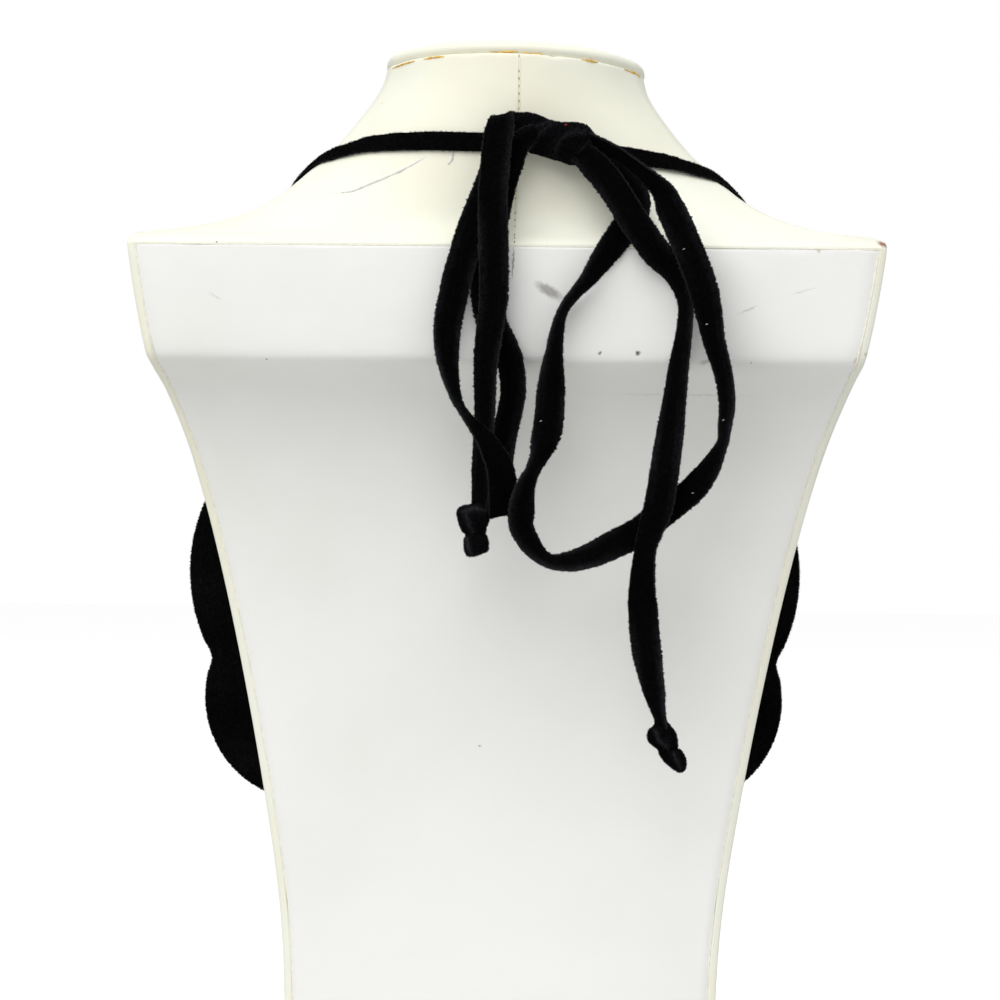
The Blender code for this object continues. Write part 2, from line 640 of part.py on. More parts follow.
class Bib:
    """The sheet of the bib, bent a little round the chest that it hangs on."""

    def __init__(self, bust_tree):
        self.tree = bust_tree
        self.half_width = UPPER_LOBE_SPREAD + UPPER_LOBE_RADIUS

    def chest(self, x, z):
        hit = self.tree.ray_cast(Vector((x, 1.0, z)), Vector((0, -1, 0)))[0]
        return hit.y if hit else None

    def inner(self, x, z):
        """The y of the bib's back face."""
        bend = BIB_BEND * ((x - BIB_OFFSET) / self.half_width) ** 2
        y = self.chest(0.0, z) + BIB_STANDOFF - bend
        chest = self.chest(x, z)
        return y if chest is None else max(y, chest + BIB_STANDOFF)

    def build(self, velvet):
        centre_x = BIB_OFFSET
        rows = [(0.0, 0.0)]
        for ring in range(1, BIB_RINGS + 1):
            for spoke in range(BIB_SPOKES):
                angle = 2 * math.pi * spoke / BIB_SPOKES
                reach = bib_radius(angle) * ring / BIB_RINGS
                rows.append((reach * math.cos(angle), reach * math.sin(angle)))
        back = []
        for x, z in rows:
            place_x = centre_x + x
            place_z = BIB_HEIGHT + z
            back.append(Vector((place_x, self.inner(place_x, place_z), place_z)))
        front = [p + Vector((0, BIB_THICKNESS, 0)) for p in back]
        count = len(back)
        faces = []
        for spoke in range(BIB_SPOKES):
            after = (spoke + 1) % BIB_SPOKES
            faces.append((0, 1 + spoke, 1 + after))
            faces.append((count, count + 1 + after, count + 1 + spoke))
            for ring in range(1, BIB_RINGS):
                inner = 1 + (ring - 1) * BIB_SPOKES
                outer = inner + BIB_SPOKES
                faces.append((inner + spoke, outer + spoke, outer + after, inner + after))
                faces.append(
                    (
                        count + inner + after,
                        count + outer + after,
                        count + outer + spoke,
                        count + inner + spoke,
                    )
                )
            edge = 1 + (BIB_RINGS - 1) * BIB_SPOKES
            faces.append((edge + spoke, count + edge + spoke, count + edge + after, edge + after))
        return add_piece("bib", back + front, faces, velvet)


def eased(vectors, passes):
    """The vectors with each one moved towards the mean of its neighbours; the ends stay."""
    for _ in range(passes):
        middle = [(a + b * 2 + c) / 4 for a, b, c in zip(vectors, vectors[1:], vectors[2:])]
        vectors = [vectors[0], *middle, vectors[-1]]
    return vectors


def clear_of(bust_tree, point, normal, lift):
    """The point, moved out along the normal where it lies nearer than lift to the bust."""
    spot, out, _, _ = bust_tree.find_nearest(point)
    short = lift - (point - spot).dot(out)
    return point + normal * short if short > 0 else point


def build_neck_ribbon(name, route, lobe_x, bib, bust_tree, velvet):
    """The ribbon from under the knot round the neck, laid on the bust, to the back of a lobe of the bib."""
    lift = RIBBON_STANDOFF + RIBBON_THICKNESS / 2
    fine = smooth_path([Vector((p.x, p.y, p.z + BOW_LIFT, p.width)) for p in route], NECK_RIBBON_STEPS)
    widths = [p[3] * RIBBON_WIDTH for p in fine]
    nearest = [bust_tree.find_nearest(p.to_3d()) for p in fine]
    normals = eased([hit[1] for hit in nearest], EASING_STEPS)
    laid = eased([hit[0] + normal * lift for hit, normal in zip(nearest, normals)], EASING_STEPS)
    lobe_top = BIB_HEIGHT + UPPER_LOBE_RADIUS
    depth = CLEARANCE + RIBBON_THICKNESS / 2 + RIBBON_CUP
    entry_x = mix(laid[-1].x, lobe_x, RIBBON_ENTRY_SHIFT)
    for end_x, z in ((entry_x, lobe_top - RIBBON_ENTRY), (lobe_x, lobe_top - RIBBON_HOLD)):
        y = min(bib.inner(end_x - RIBBON_WIDTH / 2, z), bib.inner(end_x + RIBBON_WIDTH / 2, z)) - depth
        laid.append(Vector((end_x, y, z)))
        normals.append(Vector((0, 1, 0)))
        widths.append(RIBBON_WIDTH)
    rings = []
    for point, along, normal, width in zip(laid, tangents(laid), normals, widths):
        out = normal.normalized()
        half = out.cross(along).normalized() * width / 2
        thick = out * RIBBON_THICKNESS / 2
        line = [clear_of(bust_tree, p, out, lift) for p in (point - half, point, point + half)]
        rings.append([p - thick for p in line] + [p + thick for p in reversed(line)])
    return add_piece(name, *skin(rings), velvet, smooth_angle=60)


def build_bow_knot(velvet):
    """The tied middle of the bow: a fat slanting wrap over a flatter end, pinched between the wraps."""
    rings = []
    for section in KNOT_SECTIONS:
        middle_z = (section.top + section.bottom) / 2 * KNOT_HEIGHT
        half_z = (section.top - section.bottom) / 2 * KNOT_HEIGHT
        middle_y = -(section.front + section.back) / 2 * KNOT_DEPTH
        half_y = (section.front - section.back) / 2 * KNOT_DEPTH
        ring = []
        for i in range(KNOT_SIDES):
            angle = 2 * math.pi * i / KNOT_SIDES
            slant = KNOT_SLANT / 2 * section.at * math.sin(angle)
            ring.append(
                Vector(KNOT_LEFT)
                + Vector(
                    (
                        section.at * KNOT_WIDTH + slant,
                        middle_y - half_y * math.cos(angle),
                        middle_z + half_z * math.sin(angle) + BOW_LIFT,
                    )
                )
            )
        rings.append(list(reversed(ring)))
    return add_piece("bow_knot", *skin(rings), velvet, smooth_angle=60)


def build_end_knot(name, top, lean, velvet):
    """The overhand knot at the end of a tail: a fat upper turn and the short end below it."""
    turn = Matrix.Rotation(math.radians(-lean), 3, "Y")
    rings = []
    for section in END_SECTIONS:
        ring = []
        for i in range(END_SIDES):
            angle = 2 * math.pi * i / END_SIDES
            ring.append(
                Vector(top)
                + Vector((0, 0, BOW_LIFT))
                + turn
                @ Vector(
                    (
                        (section.shift + section.width * math.cos(angle) / 2) * END_KNOT_WIDTH,
                        section.depth * math.sin(angle) / 2 * END_KNOT_DEPTH,
                        -section.at * END_KNOT_HEIGHT,
                    )
                )
            )
        rings.append(list(reversed(ring)))
    return add_piece(name, *skin(rings), velvet, smooth_angle=60)


def main():
    clear_scene()
    leather = make_material("cream leatherette", (0.90, 0.91, 0.82), 0.5)
    panel = make_material("white leatherette", (0.92, 0.92, 0.92), 0.55)
    velvet = make_material("black velvet", (0.006, 0.007, 0.007), 0.9)
    bust = build_bust(leather)
    build_back_panel(panel)
    build_neck_cap(leather)
    tree = BVHTree.FromPolygons([v.co for v in bust.data.vertices], [p.vertices for p in bust.data.polygons])
    bib = Bib(tree)
    bib.build(velvet)
    build_neck_ribbon("left_neck_ribbon", LEFT_NECK_ROUTE, BIB_OFFSET - UPPER_LOBE_SPREAD, bib, tree, velvet)
    build_neck_ribbon("right_neck_ribbon", RIGHT_NECK_ROUTE, BIB_OFFSET + UPPER_LOBE_SPREAD, bib, tree, velvet)
    build_bow_knot(velvet)
    build_hanging_ribbon("left_loop", LEFT_LOOP_ROUTE, velvet)
    build_hanging_ribbon("right_loop", RIGHT_LOOP_ROUTE, velvet)
    build_hanging_ribbon("left_tail", LEFT_TAIL_ROUTE, velvet)
    build_hanging_ribbon("right_tail", RIGHT_TAIL_ROUTE, velvet)
    build_end_knot("left_end_knot", LEFT_END_KNOT, LEFT_END_LEAN, velvet)
    build_end_knot("right_end_knot", RIGHT_END_KNOT, RIGHT_END_LEAN, velvet)


main()
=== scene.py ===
"""The looks of a ribbon-tie bib necklace on its neck bust, laid out as a Blender add-on.

Metres, +Z up, +Y to the front of the bust. The photograph shows the back, so the camera stands at -Y.
The loops and tails of the bow follow the routes below, and the knots the slices below. Everything else
is made from the solids of the frame, or laid on them.
"""

import json
import math
from collections import namedtuple

import bmesh
import bpy
from bpy.props import FloatProperty, FloatVectorProperty, IntProperty, PointerProperty
from mathutils import Matrix, Vector, noise
from mathutils.bvhtree import BVHTree

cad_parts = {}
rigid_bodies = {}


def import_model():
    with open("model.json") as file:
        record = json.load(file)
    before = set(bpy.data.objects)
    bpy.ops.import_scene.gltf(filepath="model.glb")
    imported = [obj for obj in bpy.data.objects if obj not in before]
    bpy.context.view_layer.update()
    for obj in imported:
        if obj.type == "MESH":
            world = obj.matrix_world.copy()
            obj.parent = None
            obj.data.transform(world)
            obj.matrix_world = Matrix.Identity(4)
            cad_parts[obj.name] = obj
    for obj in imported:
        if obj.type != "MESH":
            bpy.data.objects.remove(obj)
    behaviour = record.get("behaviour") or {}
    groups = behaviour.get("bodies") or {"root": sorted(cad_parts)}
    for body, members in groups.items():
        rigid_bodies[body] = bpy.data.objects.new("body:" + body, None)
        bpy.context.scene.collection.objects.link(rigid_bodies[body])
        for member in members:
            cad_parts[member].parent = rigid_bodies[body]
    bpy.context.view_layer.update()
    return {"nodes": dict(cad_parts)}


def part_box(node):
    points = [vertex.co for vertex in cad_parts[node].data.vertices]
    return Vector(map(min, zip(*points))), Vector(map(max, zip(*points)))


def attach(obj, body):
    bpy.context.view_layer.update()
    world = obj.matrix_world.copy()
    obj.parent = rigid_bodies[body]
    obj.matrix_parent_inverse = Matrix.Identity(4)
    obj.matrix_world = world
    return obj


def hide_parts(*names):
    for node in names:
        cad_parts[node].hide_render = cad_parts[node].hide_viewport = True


bl_info = {
    "name": "Ribbon-tie bib necklace",
    "version": (1, 0, 0),
    "blender": (4, 5, 0),
    "location": "3D View > Sidebar > Necklace",
    "description": "Dresses the necklace and its neck bust in velvet and leatherette",
    "category": "Object",
}

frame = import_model()

# Camera of the photograph
CAMERA_DISTANCE = 1.260
CAMERA_YAW = 1.7  # degrees to the right of straight behind
CAMERA_ROLL = 0.62
CAMERA_HEIGHT = 0.224
CAMERA_AIM_X = -0.0028
CAMERA_LENS = 127.06  # millimetres, on the sensor below
CAMERA_SENSOR = 36.0
PHOTO_PIXELS = 1000
PHOTO_MIDDLE = PHOTO_PIXELS / 2
FOCAL_PIXELS = CAMERA_LENS / CAMERA_SENSOR * PHOTO_PIXELS
PIXEL = 0.00034  # metres to a pixel at the back of the bust
BACK_FACE = -0.058

# How a solid becomes a dressed piece: points closer than this are merged, triangles that lie flatter and
# squarer than these angles are joined, and an edge sharper than the last one is creased
MERGE_DISTANCE = 0.00001
JOIN_FLATNESS = math.radians(25)
JOIN_SHAPE = math.radians(60)
CREASE_ANGLE = math.radians(50)

CAP_DRAW_IN = 0.974  # share of its width that the padded cap keeps, so that it ends flush with the neck
JOINT_WIDTH = 0.0005  # between the back panel and the turned-over rim
JOINT_DEPTH = 0.0002  # of the middle of the glue in it, below the face of the panel
ROUTE_STEPS = 16  # pieces of ribbon between two stations of its route
LINE_STEPS = 6  # pieces of a bead or seam between two points of its line
SEAM_STEPS = 4  # pieces of the stitched line between two points of the seam
BAND_SIDES = 22  # points round the section of a ribbon
BEAD_SIDES = 8
TUFT_TILT = math.radians(38)  # the furthest that a tuft leans
KNOT_PILE = 1.2  # tufts on a knot, as a share of those on a ribbon
MILLIMETRE = 0.001

# Unevenness of the velvet, in waves to a metre: the ribbon's width wanders over some 4 mm, its edge over
# 1 mm and its face over 8 mm, the painted sheen of its edges comes and goes over 45 mm, the ribbon round the
# neck ripples over 4 mm, the knots are lumpy over 2 mm and the bib is soft over 36 mm
WIDTH_WAVES = 260
EDGE_WAVES = 1100
FACE_WAVES = 120
PAINTED_SHEEN_WAVES = 22
RIPPLE_WAVES = 260
LUMP_WAVES = 420
BIB_WAVES = 28

# Patterns of the materials, in waves to a metre: the yellowed patches of the leatherette are some 70 mm
# across, the waves of its sheet 14 mm, the ragged edges of its marks and the clumps of tufts 1 mm, and the
# mottle of small things 2 mm
PATCH_WAVES = 14.0
SHEET_WAVES = 70.0
RAGGED_WAVES = 900.0
CLUMP_WAVES = 900.0
MOTTLE_WAVES = 500.0

FLOOR_HALF = 6.0
LIGHT_SIZE = 2.4  # large, for shadows as soft as in the photograph
LIGHT_AIM = Vector((0.0, 0.0, 0.22))

# Routes of the ribbon that hangs free below the knot. turn is the angle in degrees between the ribbon's
# face and the plane of the back.
Station = namedtuple("Station", "x y z turn")
LEFT_TAIL_ROUTE = [
    Station(-0.0020, -0.0556, 0.3549, 13),
    Station(-0.0018, -0.0592, 0.3538, 12),
    Station(-0.0022, -0.0614, 0.3512, 6),
    Station(-0.0032, -0.0627, 0.3450, 8),
    Station(-0.0038, -0.0640, 0.3355, 8),
    Station(-0.0044, -0.0662, 0.3260, 0),
    Station(-0.0038, -0.0687, 0.3071, 0),
    Station(-0.0036, -0.0690, 0.2909, 14),
    Station(-0.0055, -0.0690, 0.2740, 30),
    Station(-0.0059, -0.0690, 0.2652, 40),
    Station(-0.0060, -0.0675, 0.2514, 46),
    Station(-0.0065, -0.0665, 0.2399, 46),
    Station(-0.0072, -0.0665, 0.2240, 42),
]
RIGHT_TAIL_ROUTE = [
    Station(0.0280, -0.0600, 0.3400, 0),
    Station(0.0338, -0.0620, 0.3335, 5),
    Station(0.0384, -0.0647, 0.3267, 5),
    Station(0.0441, -0.0663, 0.3179, 0),
    Station(0.0508, -0.0668, 0.3085, 8),
    Station(0.0552, -0.0668, 0.3041, 25),
    Station(0.0584, -0.0662, 0.2990, 48),
    Station(0.0607, -0.0657, 0.2916, 62),
    Station(0.0606, -0.0660, 0.2838, 60),
    Station(0.0597, -0.0665, 0.2764, 56),
    Station(0.0587, -0.0670, 0.2696, 50),
    Station(0.0572, -0.0680, 0.2561, 38),
    Station(0.0564, -0.0690, 0.2493, 25),
    Station(0.0547, -0.0700, 0.2358, 14),
    Station(0.0526, -0.0710, 0.2223, 10),
    Station(0.0499, -0.0720, 0.2145, 34),
    Station(0.0480, -0.0720, 0.2071, 44),
    Station(0.0473, -0.0715, 0.1953, 30),
    Station(0.0478, -0.0710, 0.1869, 8),
    Station(0.0488, -0.0705, 0.1767, 0),
    Station(0.0503, -0.0700, 0.1666, 30),
    Station(0.0522, -0.0690, 0.1565, 50),
    Station(0.0542, -0.0685, 0.1492, 62),
]
LEFT_LOOP_ROUTE = [
    Station(0.0100, -0.0573, 0.3492, 0),
    Station(0.0066, -0.0572, 0.3478, 0),
    Station(0.0026, -0.0570, 0.3437, 0),
    Station(0.0000, -0.0566, 0.3372, 0),
    Station(-0.0018, -0.0570, 0.3315, 0),
    Station(-0.0037, -0.0590, 0.3217, 0),
    Station(-0.0056, -0.0616, 0.3119, 0),
    Station(-0.0066, -0.0626, 0.3024, 0),
    Station(-0.0066, -0.0626, 0.2933, 0),
    Station(-0.0046, -0.0628, 0.2845, 0),
    Station(-0.0012, -0.0632, 0.2777, 10),
    Station(0.0017, -0.0632, 0.2713, 25),
    Station(0.0029, -0.0625, 0.2618, 30),
    Station(0.0018, -0.0620, 0.2537, 32),
    Station(-0.0003, -0.0620, 0.2443, 28),
    Station(-0.0012, -0.0622, 0.2355, 28),
    Station(-0.0002, -0.0632, 0.2262, 8),
    Station(0.0004, -0.0650, 0.2208, 0),
    Station(0.0006, -0.0672, 0.2192, 0),
    Station(0.0006, -0.0698, 0.2210, 0),
    Station(0.0004, -0.0720, 0.2257, 5),
    Station(-0.0008, -0.0738, 0.2341, 22),
    Station(-0.0044, -0.0745, 0.2416, 44),
    Station(-0.0088, -0.0745, 0.2476, 64),
    Station(-0.0130, -0.0740, 0.2527, 75),
    Station(-0.0160, -0.0730, 0.2575, 74),
    Station(-0.0182, -0.0715, 0.2652, 58),
    Station(-0.0195, -0.0700, 0.2740, 40),
    Station(-0.0192, -0.0680, 0.2838, 22),
    Station(-0.0164, -0.0665, 0.2976, 5),
    Station(-0.0133, -0.0655, 0.3094, 0),
    Station(-0.0099, -0.0638, 0.3199, 0),
    Station(-0.0066, -0.0620, 0.3287, 0),
    Station(-0.0038, -0.0604, 0.3372, 0),
    Station(-0.0028, -0.0596, 0.3430, 0),
    Station(-0.0022, -0.0591, 0.3480, 0),
]
RIGHT_LOOP_ROUTE = [
    Station(0.0306, -0.0570, 0.3452, 62),
    Station(0.0381, -0.0595, 0.3412, 68),
    Station(0.0450, -0.0620, 0.3358, 66),
    Station(0.0512, -0.0650, 0.3301, 52),
    Station(0.0547, -0.0690, 0.3243, 22),
    Station(0.0587, -0.0725, 0.3159, 5),
    Station(0.0627, -0.0745, 0.3067, 0),
    Station(0.0664, -0.0750, 0.2966, 6),
    Station(0.0684, -0.0745, 0.2882, 28),
    Station(0.0704, -0.0735, 0.2780, 46),
    Station(0.0736, -0.0720, 0.2672, 56),
    Station(0.0749, -0.0705, 0.2574, 60),
    Station(0.0743, -0.0695, 0.2493, 68),
    Station(0.0735, -0.0690, 0.2436, 70),
    Station(0.0696, -0.0680, 0.2358, 48),
    Station(0.0653, -0.0665, 0.2297, 30),
    Station(0.0599, -0.0650, 0.2247, 25),
    Station(0.0533, -0.0640, 0.2196, 15),
    Station(0.0466, -0.0640, 0.2139, 8),
    Station(0.0382, -0.0645, 0.2097, 18),
    Station(0.0308, -0.0655, 0.2061, 32),
    Station(0.0231, -0.0690, 0.2037, 50),
    Station(0.0168, -0.0720, 0.2040, 66),
    Station(0.0110, -0.0745, 0.2085, 50),
    Station(0.0072, -0.0757, 0.2149, 38),
    Station(0.0070, -0.0757, 0.2213, 32),
    Station(0.0082, -0.0745, 0.2274, 48),
    Station(0.0104, -0.0725, 0.2335, 64),
    Station(0.0124, -0.0700, 0.2389, 52),
    Station(0.0142, -0.0685, 0.2443, 24),
    Station(0.0154, -0.0675, 0.2507, 0),
    Station(0.0162, -0.0668, 0.2618, 22),
    Station(0.0172, -0.0664, 0.2726, 53),
    Station(0.0183, -0.0662, 0.2814, 66),
    Station(0.0208, -0.0660, 0.2895, 74),
    Station(0.0280, -0.0665, 0.2983, 62),
    Station(0.0348, -0.0650, 0.3084, 34),
    Station(0.0400, -0.0620, 0.3159, 20),
    Station(0.0438, -0.0582, 0.3225, 12),
    Station(0.0436, -0.0550, 0.3287, 10),
    Station(0.0388, -0.0520, 0.3350, 5),
    Station(0.0318, -0.0505, 0.3398, 0),
]

# Ribbon that is hidden in a knot, before the start of a route and after its end
LEADS = {
    "left_tail": [Station(-0.0020, -0.0528, 0.3536, 13)],
    "right_tail": [Station(0.0205, -0.0570, 0.3462, 0), Station(0.0242, -0.0588, 0.3434, 0)],
    "right_loop": [Station(0.0215, -0.0545, 0.3488, 50), Station(0.0262, -0.0556, 0.3472, 58)],
}
ENDS = {
    "left_tail": [Station(-0.0079, -0.0664, 0.2200, 38)],
    "right_tail": [Station(0.0545, -0.0684, 0.1472, 62)],
    "right_loop": [Station(0.0262, -0.0515, 0.3432, 0)],
}

# Slices through the knots, each from a to b in pixels of the photograph. back and front are in
# millimetres behind the origin.
Slice = namedtuple("Slice", "ax ay bx by back front")
BOW_SLICES = [
    Slice(502, 124, 502, 140, 50.0, 53.0),
    Slice(505, 116, 505, 147, 49.0, 54.6),
    Slice(511, 112, 511, 149, 48.4, 55.4),
    Slice(520, 113, 519, 150, 48.0, 55.8),
    Slice(530, 113, 528, 151, 47.8, 56.2),
    Slice(540, 116, 537, 154, 47.8, 56.8),
    Slice(549, 120, 545, 156, 47.8, 58.0),
    Slice(557, 123, 553, 159, 47.8, 59.8),
    Slice(566, 123, 561, 161, 47.8, 60.8),
    Slice(575, 123, 570, 164, 47.8, 61.2),
    Slice(583, 124, 578, 163, 47.8, 61.2),
    Slice(590, 129, 584, 158, 48.2, 60.4),
    Slice(594, 135, 589, 152, 49.2, 58.6),
    Slice(595, 141, 592, 147, 50.6, 56.4),
]
LEFT_END_SLICES = [
    Slice(473, 493, 486, 493, 65.8, 67.2),
    Slice(472, 499, 487, 498, 65.2, 67.4),
    Slice(471, 504, 488, 503, 64.0, 67.6),
    Slice(461, 507, 489, 508, 63.2, 69.2),
    Slice(457, 513, 489, 514, 62.6, 70.4),
    Slice(458, 519, 489, 520, 62.6, 70.6),
    Slice(460, 526, 487, 526, 63.0, 70.2),
    Slice(463.5, 532, 485.8, 531, 63.6, 69.2),
    Slice(465.5, 534.6, 485.6, 534, 64.0, 68.8),
    Slice(464.2, 538, 487.4, 538.5, 63.4, 69.8),
    Slice(464, 545, 488.4, 545, 63.0, 70.2),
    Slice(464.3, 551, 487.4, 550.5, 63.4, 69.8),
    Slice(466.5, 555.2, 482, 553.5, 64.4, 68.6),
    Slice(469.5, 557, 473, 556.5, 65.8, 67.2),
]
RIGHT_END_SLICES = [
    Slice(656, 715, 662, 714, 67.8, 69.0),
    Slice(655, 721, 666, 719, 67.2, 69.6),
    Slice(653, 727, 670, 725, 66.6, 70.2),
    Slice(650, 729, 674.5, 731, 65.4, 71.4),
    Slice(647.3, 734, 676.5, 736, 64.8, 72.0),
    Slice(648.5, 740, 677.5, 742, 64.8, 72.2),
    Slice(652.5, 745.5, 677.7, 746.3, 65.4, 71.8),
    Slice(657.5, 749, 677.4, 748.7, 66.2, 70.8),
    Slice(660.5, 755.5, 681, 750.5, 65.6, 71.6),
    Slice(663.5, 760.5, 684, 754.5, 65.2, 72.0),
    Slice(668, 764.8, 685.8, 760, 65.2, 72.0),
    Slice(673, 768.8, 686, 765, 65.8, 71.4),
    Slice(678, 772, 684.5, 769.5, 67.0, 70.2),
    Slice(680.5, 772.7, 682.5, 771.8, 68.0, 69.2),
]
SLICE_STEPS = 8
KNOT_SIDES = 110

# Folds pressed into the knots, along lines in pixels of the photograph. A step raises the ribbon on the
# right of the line as it runs, and a crease sinks along it. height is in millimetres, reach in pixels.
Fold = namedtuple("Fold", "kind height reach points")
FOLD_EDGE = 0.45  # pixels over which a step rises
FOLD_UNDERCUT = 0.4  # how far the ribbon under a step sinks beside it, as a share of its height
BOW_FOLDS = [
    Fold("step", 1.0, 9.0, [(508, 143), (520, 135), (532, 127.5), (550, 121.5)]),
    Fold("step", 1.1, 8.0, [(528, 153), (533, 141), (540, 133), (551, 126)]),
    Fold("crease", 0.7, 2.0, [(552, 158), (555, 147), (560, 138)]),
    Fold("crease", 0.8, 2.6, [(572, 160), (581, 150), (592, 138)]),
    Fold("crease", 0.5, 2.4, [(563, 136), (574, 131), (584, 132)]),
]
LEFT_END_FOLDS = [
    Fold("step", 0.6, 6.0, [(489, 512), (474, 509), (463, 513)]),
    Fold("crease", 0.6, 2.2, [(466, 512), (468, 522), (473, 531)]),
    Fold("crease", 0.6, 1.8, [(467, 538), (468.5, 546), (471, 553)]),
]
RIGHT_END_FOLDS = [
    Fold("crease", 1.5, 1.9, [(667, 739), (669, 743)]),
    Fold("step", 0.6, 5.0, [(656, 731), (660, 741), (668, 748)]),
    Fold("crease", 0.5, 1.8, [(674, 753), (678, 761), (681, 768)]),
]

# Marks on the leatherette: middle and half sizes in pixels of the photograph, turn in degrees anticlockwise.
Mark = namedtuple("Mark", "px py length height turn colour strength")
MARK_REACH = 4  # how far in a mark reaches, in its larger half size, so that it meets a slanting face
MARK_DEPTH = 0.045  # the furthest that it reaches, so that none shows in front
MARK_WHOLE = 0.45  # of the way out from its middle, up to where it has its full strength
MARK_GONE = 1.1  # where nothing is left of it
MARK_FRAY = 0.0016  # how far its edge wanders
PANEL_MARKS = [
    Mark(549, 291, 17, 6.0, -30, "8F8D89", 0.75),
    Mark(638, 353, 3.0, 2.2, 0, "3A3835", 0.9),
    Mark(600, 353, 1.8, 1.5, 0, "56544E", 0.8),
    Mark(706, 362, 8.0, 2.6, 10, "97857A", 0.45),
    Mark(751, 363, 1.4, 1.2, 0, "4A4844", 0.8),
    Mark(266.5, 359, 1.4, 1.2, 0, "4A4844", 0.8),
    Mark(480, 746, 1.6, 1.4, 0, "6A6862", 0.7),
    Mark(748, 310, 12, 0.9, 24, "BDBDB9", 0.6),
    Mark(804, 291, 14, 0.8, 17, "C4C4C0", 0.5),
    # A crease across the panel, drawn as a grey line: painted shade
    Mark(682, 395, 78, 0.8, 0, "BEBEBA", 0.3),
    Mark(864, 362, 5.0, 3.0, 40, "B49E7C", 0.5),
    Mark(819, 251, 2.4, 2.0, 0, "BBB28A", 0.6),
    Mark(138, 299, 1.5, 1.5, 0, "8A8070", 0.6),
    Mark(513, 263, 17, 1.2, 88, "77756C", 0.7),
    Mark(215, 296, 9, 1.2, -28, "D2D2CE", 0.5),
]
COVER_MARKS = [
    Mark(223, 245, 3.0, 2.6, 0, "D49B2E", 0.85),
    Mark(217, 242, 1.5, 1.3, 0, "6B5636", 0.8),
    Mark(142, 232, 1.6, 1.4, 0, "8A7A58", 0.6),
    Mark(886, 239, 8.0, 4.0, -20, "8F5A3A", 0.9),
    Mark(517, 150, 100, 3.2, 89, "D8CFA0", 0.45),
    Mark(868, 355, 3.0, 2.4, 0, "B49E7C", 0.5),
    Mark(382, 103, 2.0, 1.4, 0, "E4D9B4", 0.6),
]

# Lines on the bust, in pixels of the photograph, from end to end
SEAM_LINE = [(519, 56), (519, 80), (519, 105), (518.5, 130), (517, 160), (516, 190), (515, 220), (514.5, 242)]
THREAD_LINES = [
    [(327, 195), (340, 193), (353, 191), (370, 184), (396, 173), (419, 161), (434, 151)],
    [(453, 150), (452.5, 156), (451, 161), (446, 166)],
]
GLUE_LINES = [
    [(392, 69), (399, 66), (408, 63), (416, 61)],
    [(423, 59.5), (433, 57.8), (445, 56.5)],
    [(488, 53), (500, 52), (510, 51.5), (519, 52)],
    [(522, 52.5), (532, 53.5), (543, 55)],
    [(581, 59.6), (590, 61), (598, 62.8)],
    [(624, 69.5), (632, 72.5), (641, 78)],
    [(221, 244), (223.5, 245), (226, 244.5)],
]
LINT_SPECKS = [(541, 421), (707, 324), (724, 420), (693, 493), (684, 249)]
RED_FLECK = [(564.5, 126), (567.5, 125.5)]

# Beads laid on a surface: the radius, and how far the bead sinks in
Bead = namedtuple("Bead", "radius sink")
GLUE_BEAD = Bead(0.00042, 0.0002)
THREAD_BEAD = Bead(0.00062, 0.0005)
LINT_BEAD = Bead(0.00017, -0.0001)
FLECK_BEAD = Bead(0.0004, -0.0001)

# Section of the neck seam, across and up: two turned lips with a groove between them
SEAM_LIPS = [
    (-0.0009, -0.0002),
    (-0.0007, 0.00002),
    (-0.00018, 0.00014),
    (0.0, -0.00004),
    (0.00018, 0.00014),
    (0.0007, 0.00002),
    (0.0009, -0.0002),
]
STITCH_LENGTH = 0.0009
STITCH_RADIUS = 0.00016
STITCHES_KEPT = 0.75  # share of the stitches that aren't worn away

# Where an upper and a lower lobe of the bib meet on each side, and how far round it the edge draws in, in
# pixels of the photograph
LEFT_NOTCH = (212.5, 656.5)
RIGHT_NOTCH = (775, 663)
NOTCH_REACH = 18


def to_linear(hex_colour):
    """The linear value of each channel of an sRGB hex colour."""
    channels = [int(hex_colour[i : i + 2], 16) / 255 for i in (0, 2, 4)]
    return tuple(c / 12.92 if c <= 0.04045 else ((c + 0.055) / 1.055) ** 2.4 for c in channels)


class VelvetSettings(bpy.types.PropertyGroup):
    """The velvet of the ribbon and of the bib."""

    width: FloatProperty(name="Ribbon width", description="Across the ribbon", default=0.0100, unit="LENGTH")
    thickness: FloatProperty(
        name="Ribbon thickness", description="Of the cloth with its pile", default=0.0012, unit="LENGTH"
    )
    cup: FloatProperty(name="Cup", description="How far the edges curl back", default=0.0005, unit="LENGTH")
    pile_length: FloatProperty(
        name="Pile length", description="Of a tuft that stands out at an edge", default=0.00056, unit="LENGTH"
    )
    pile_radius: FloatProperty(
        name="Tuft radius", description="At the foot of a tuft", default=0.00020, unit="LENGTH"
    )
    pile_density: FloatProperty(
        name="Tufts", description="Tufts on a square millimetre of edge", default=8.0, min=0.0
    )
    squeeze: FloatProperty(
        name="Squeeze", description="Share of its width that a ribbon keeps in a knot", default=0.62, min=0.2
    )
    gather: FloatProperty(
        name="Gather", description="Ribbon in which it opens out of a knot", default=0.013, unit="LENGTH"
    )
    notch: FloatProperty(
        name="Notch depth", description="Draws the bib in where lobes meet", default=0.0020, unit="LENGTH"
    )
    teeth: FloatProperty(
        name="Ragged edge", description="Wander of the edge from tuft to tuft", default=0.0005, unit="LENGTH"
    )
    colour: FloatVectorProperty(
        name="Velvet", description="Colour into the pile", subtype="COLOR", default=to_linear("060607")
    )
    # Strength of the painted sheen: how far the base colour is lightened where pile is seen from the side
    bloom: FloatProperty(name="Bloom", description="Brightening of pile seen sideways", default=11.0, min=0.0)
    # The woven edge, lightened as a painted highlight; the knots carry it along their folds as a painted
    # highlight
    selvedge_highlight_colour: FloatVectorProperty(
        name="Selvedge", description="Colour of the woven edge", subtype="COLOR", default=to_linear("2A2C2C")
    )


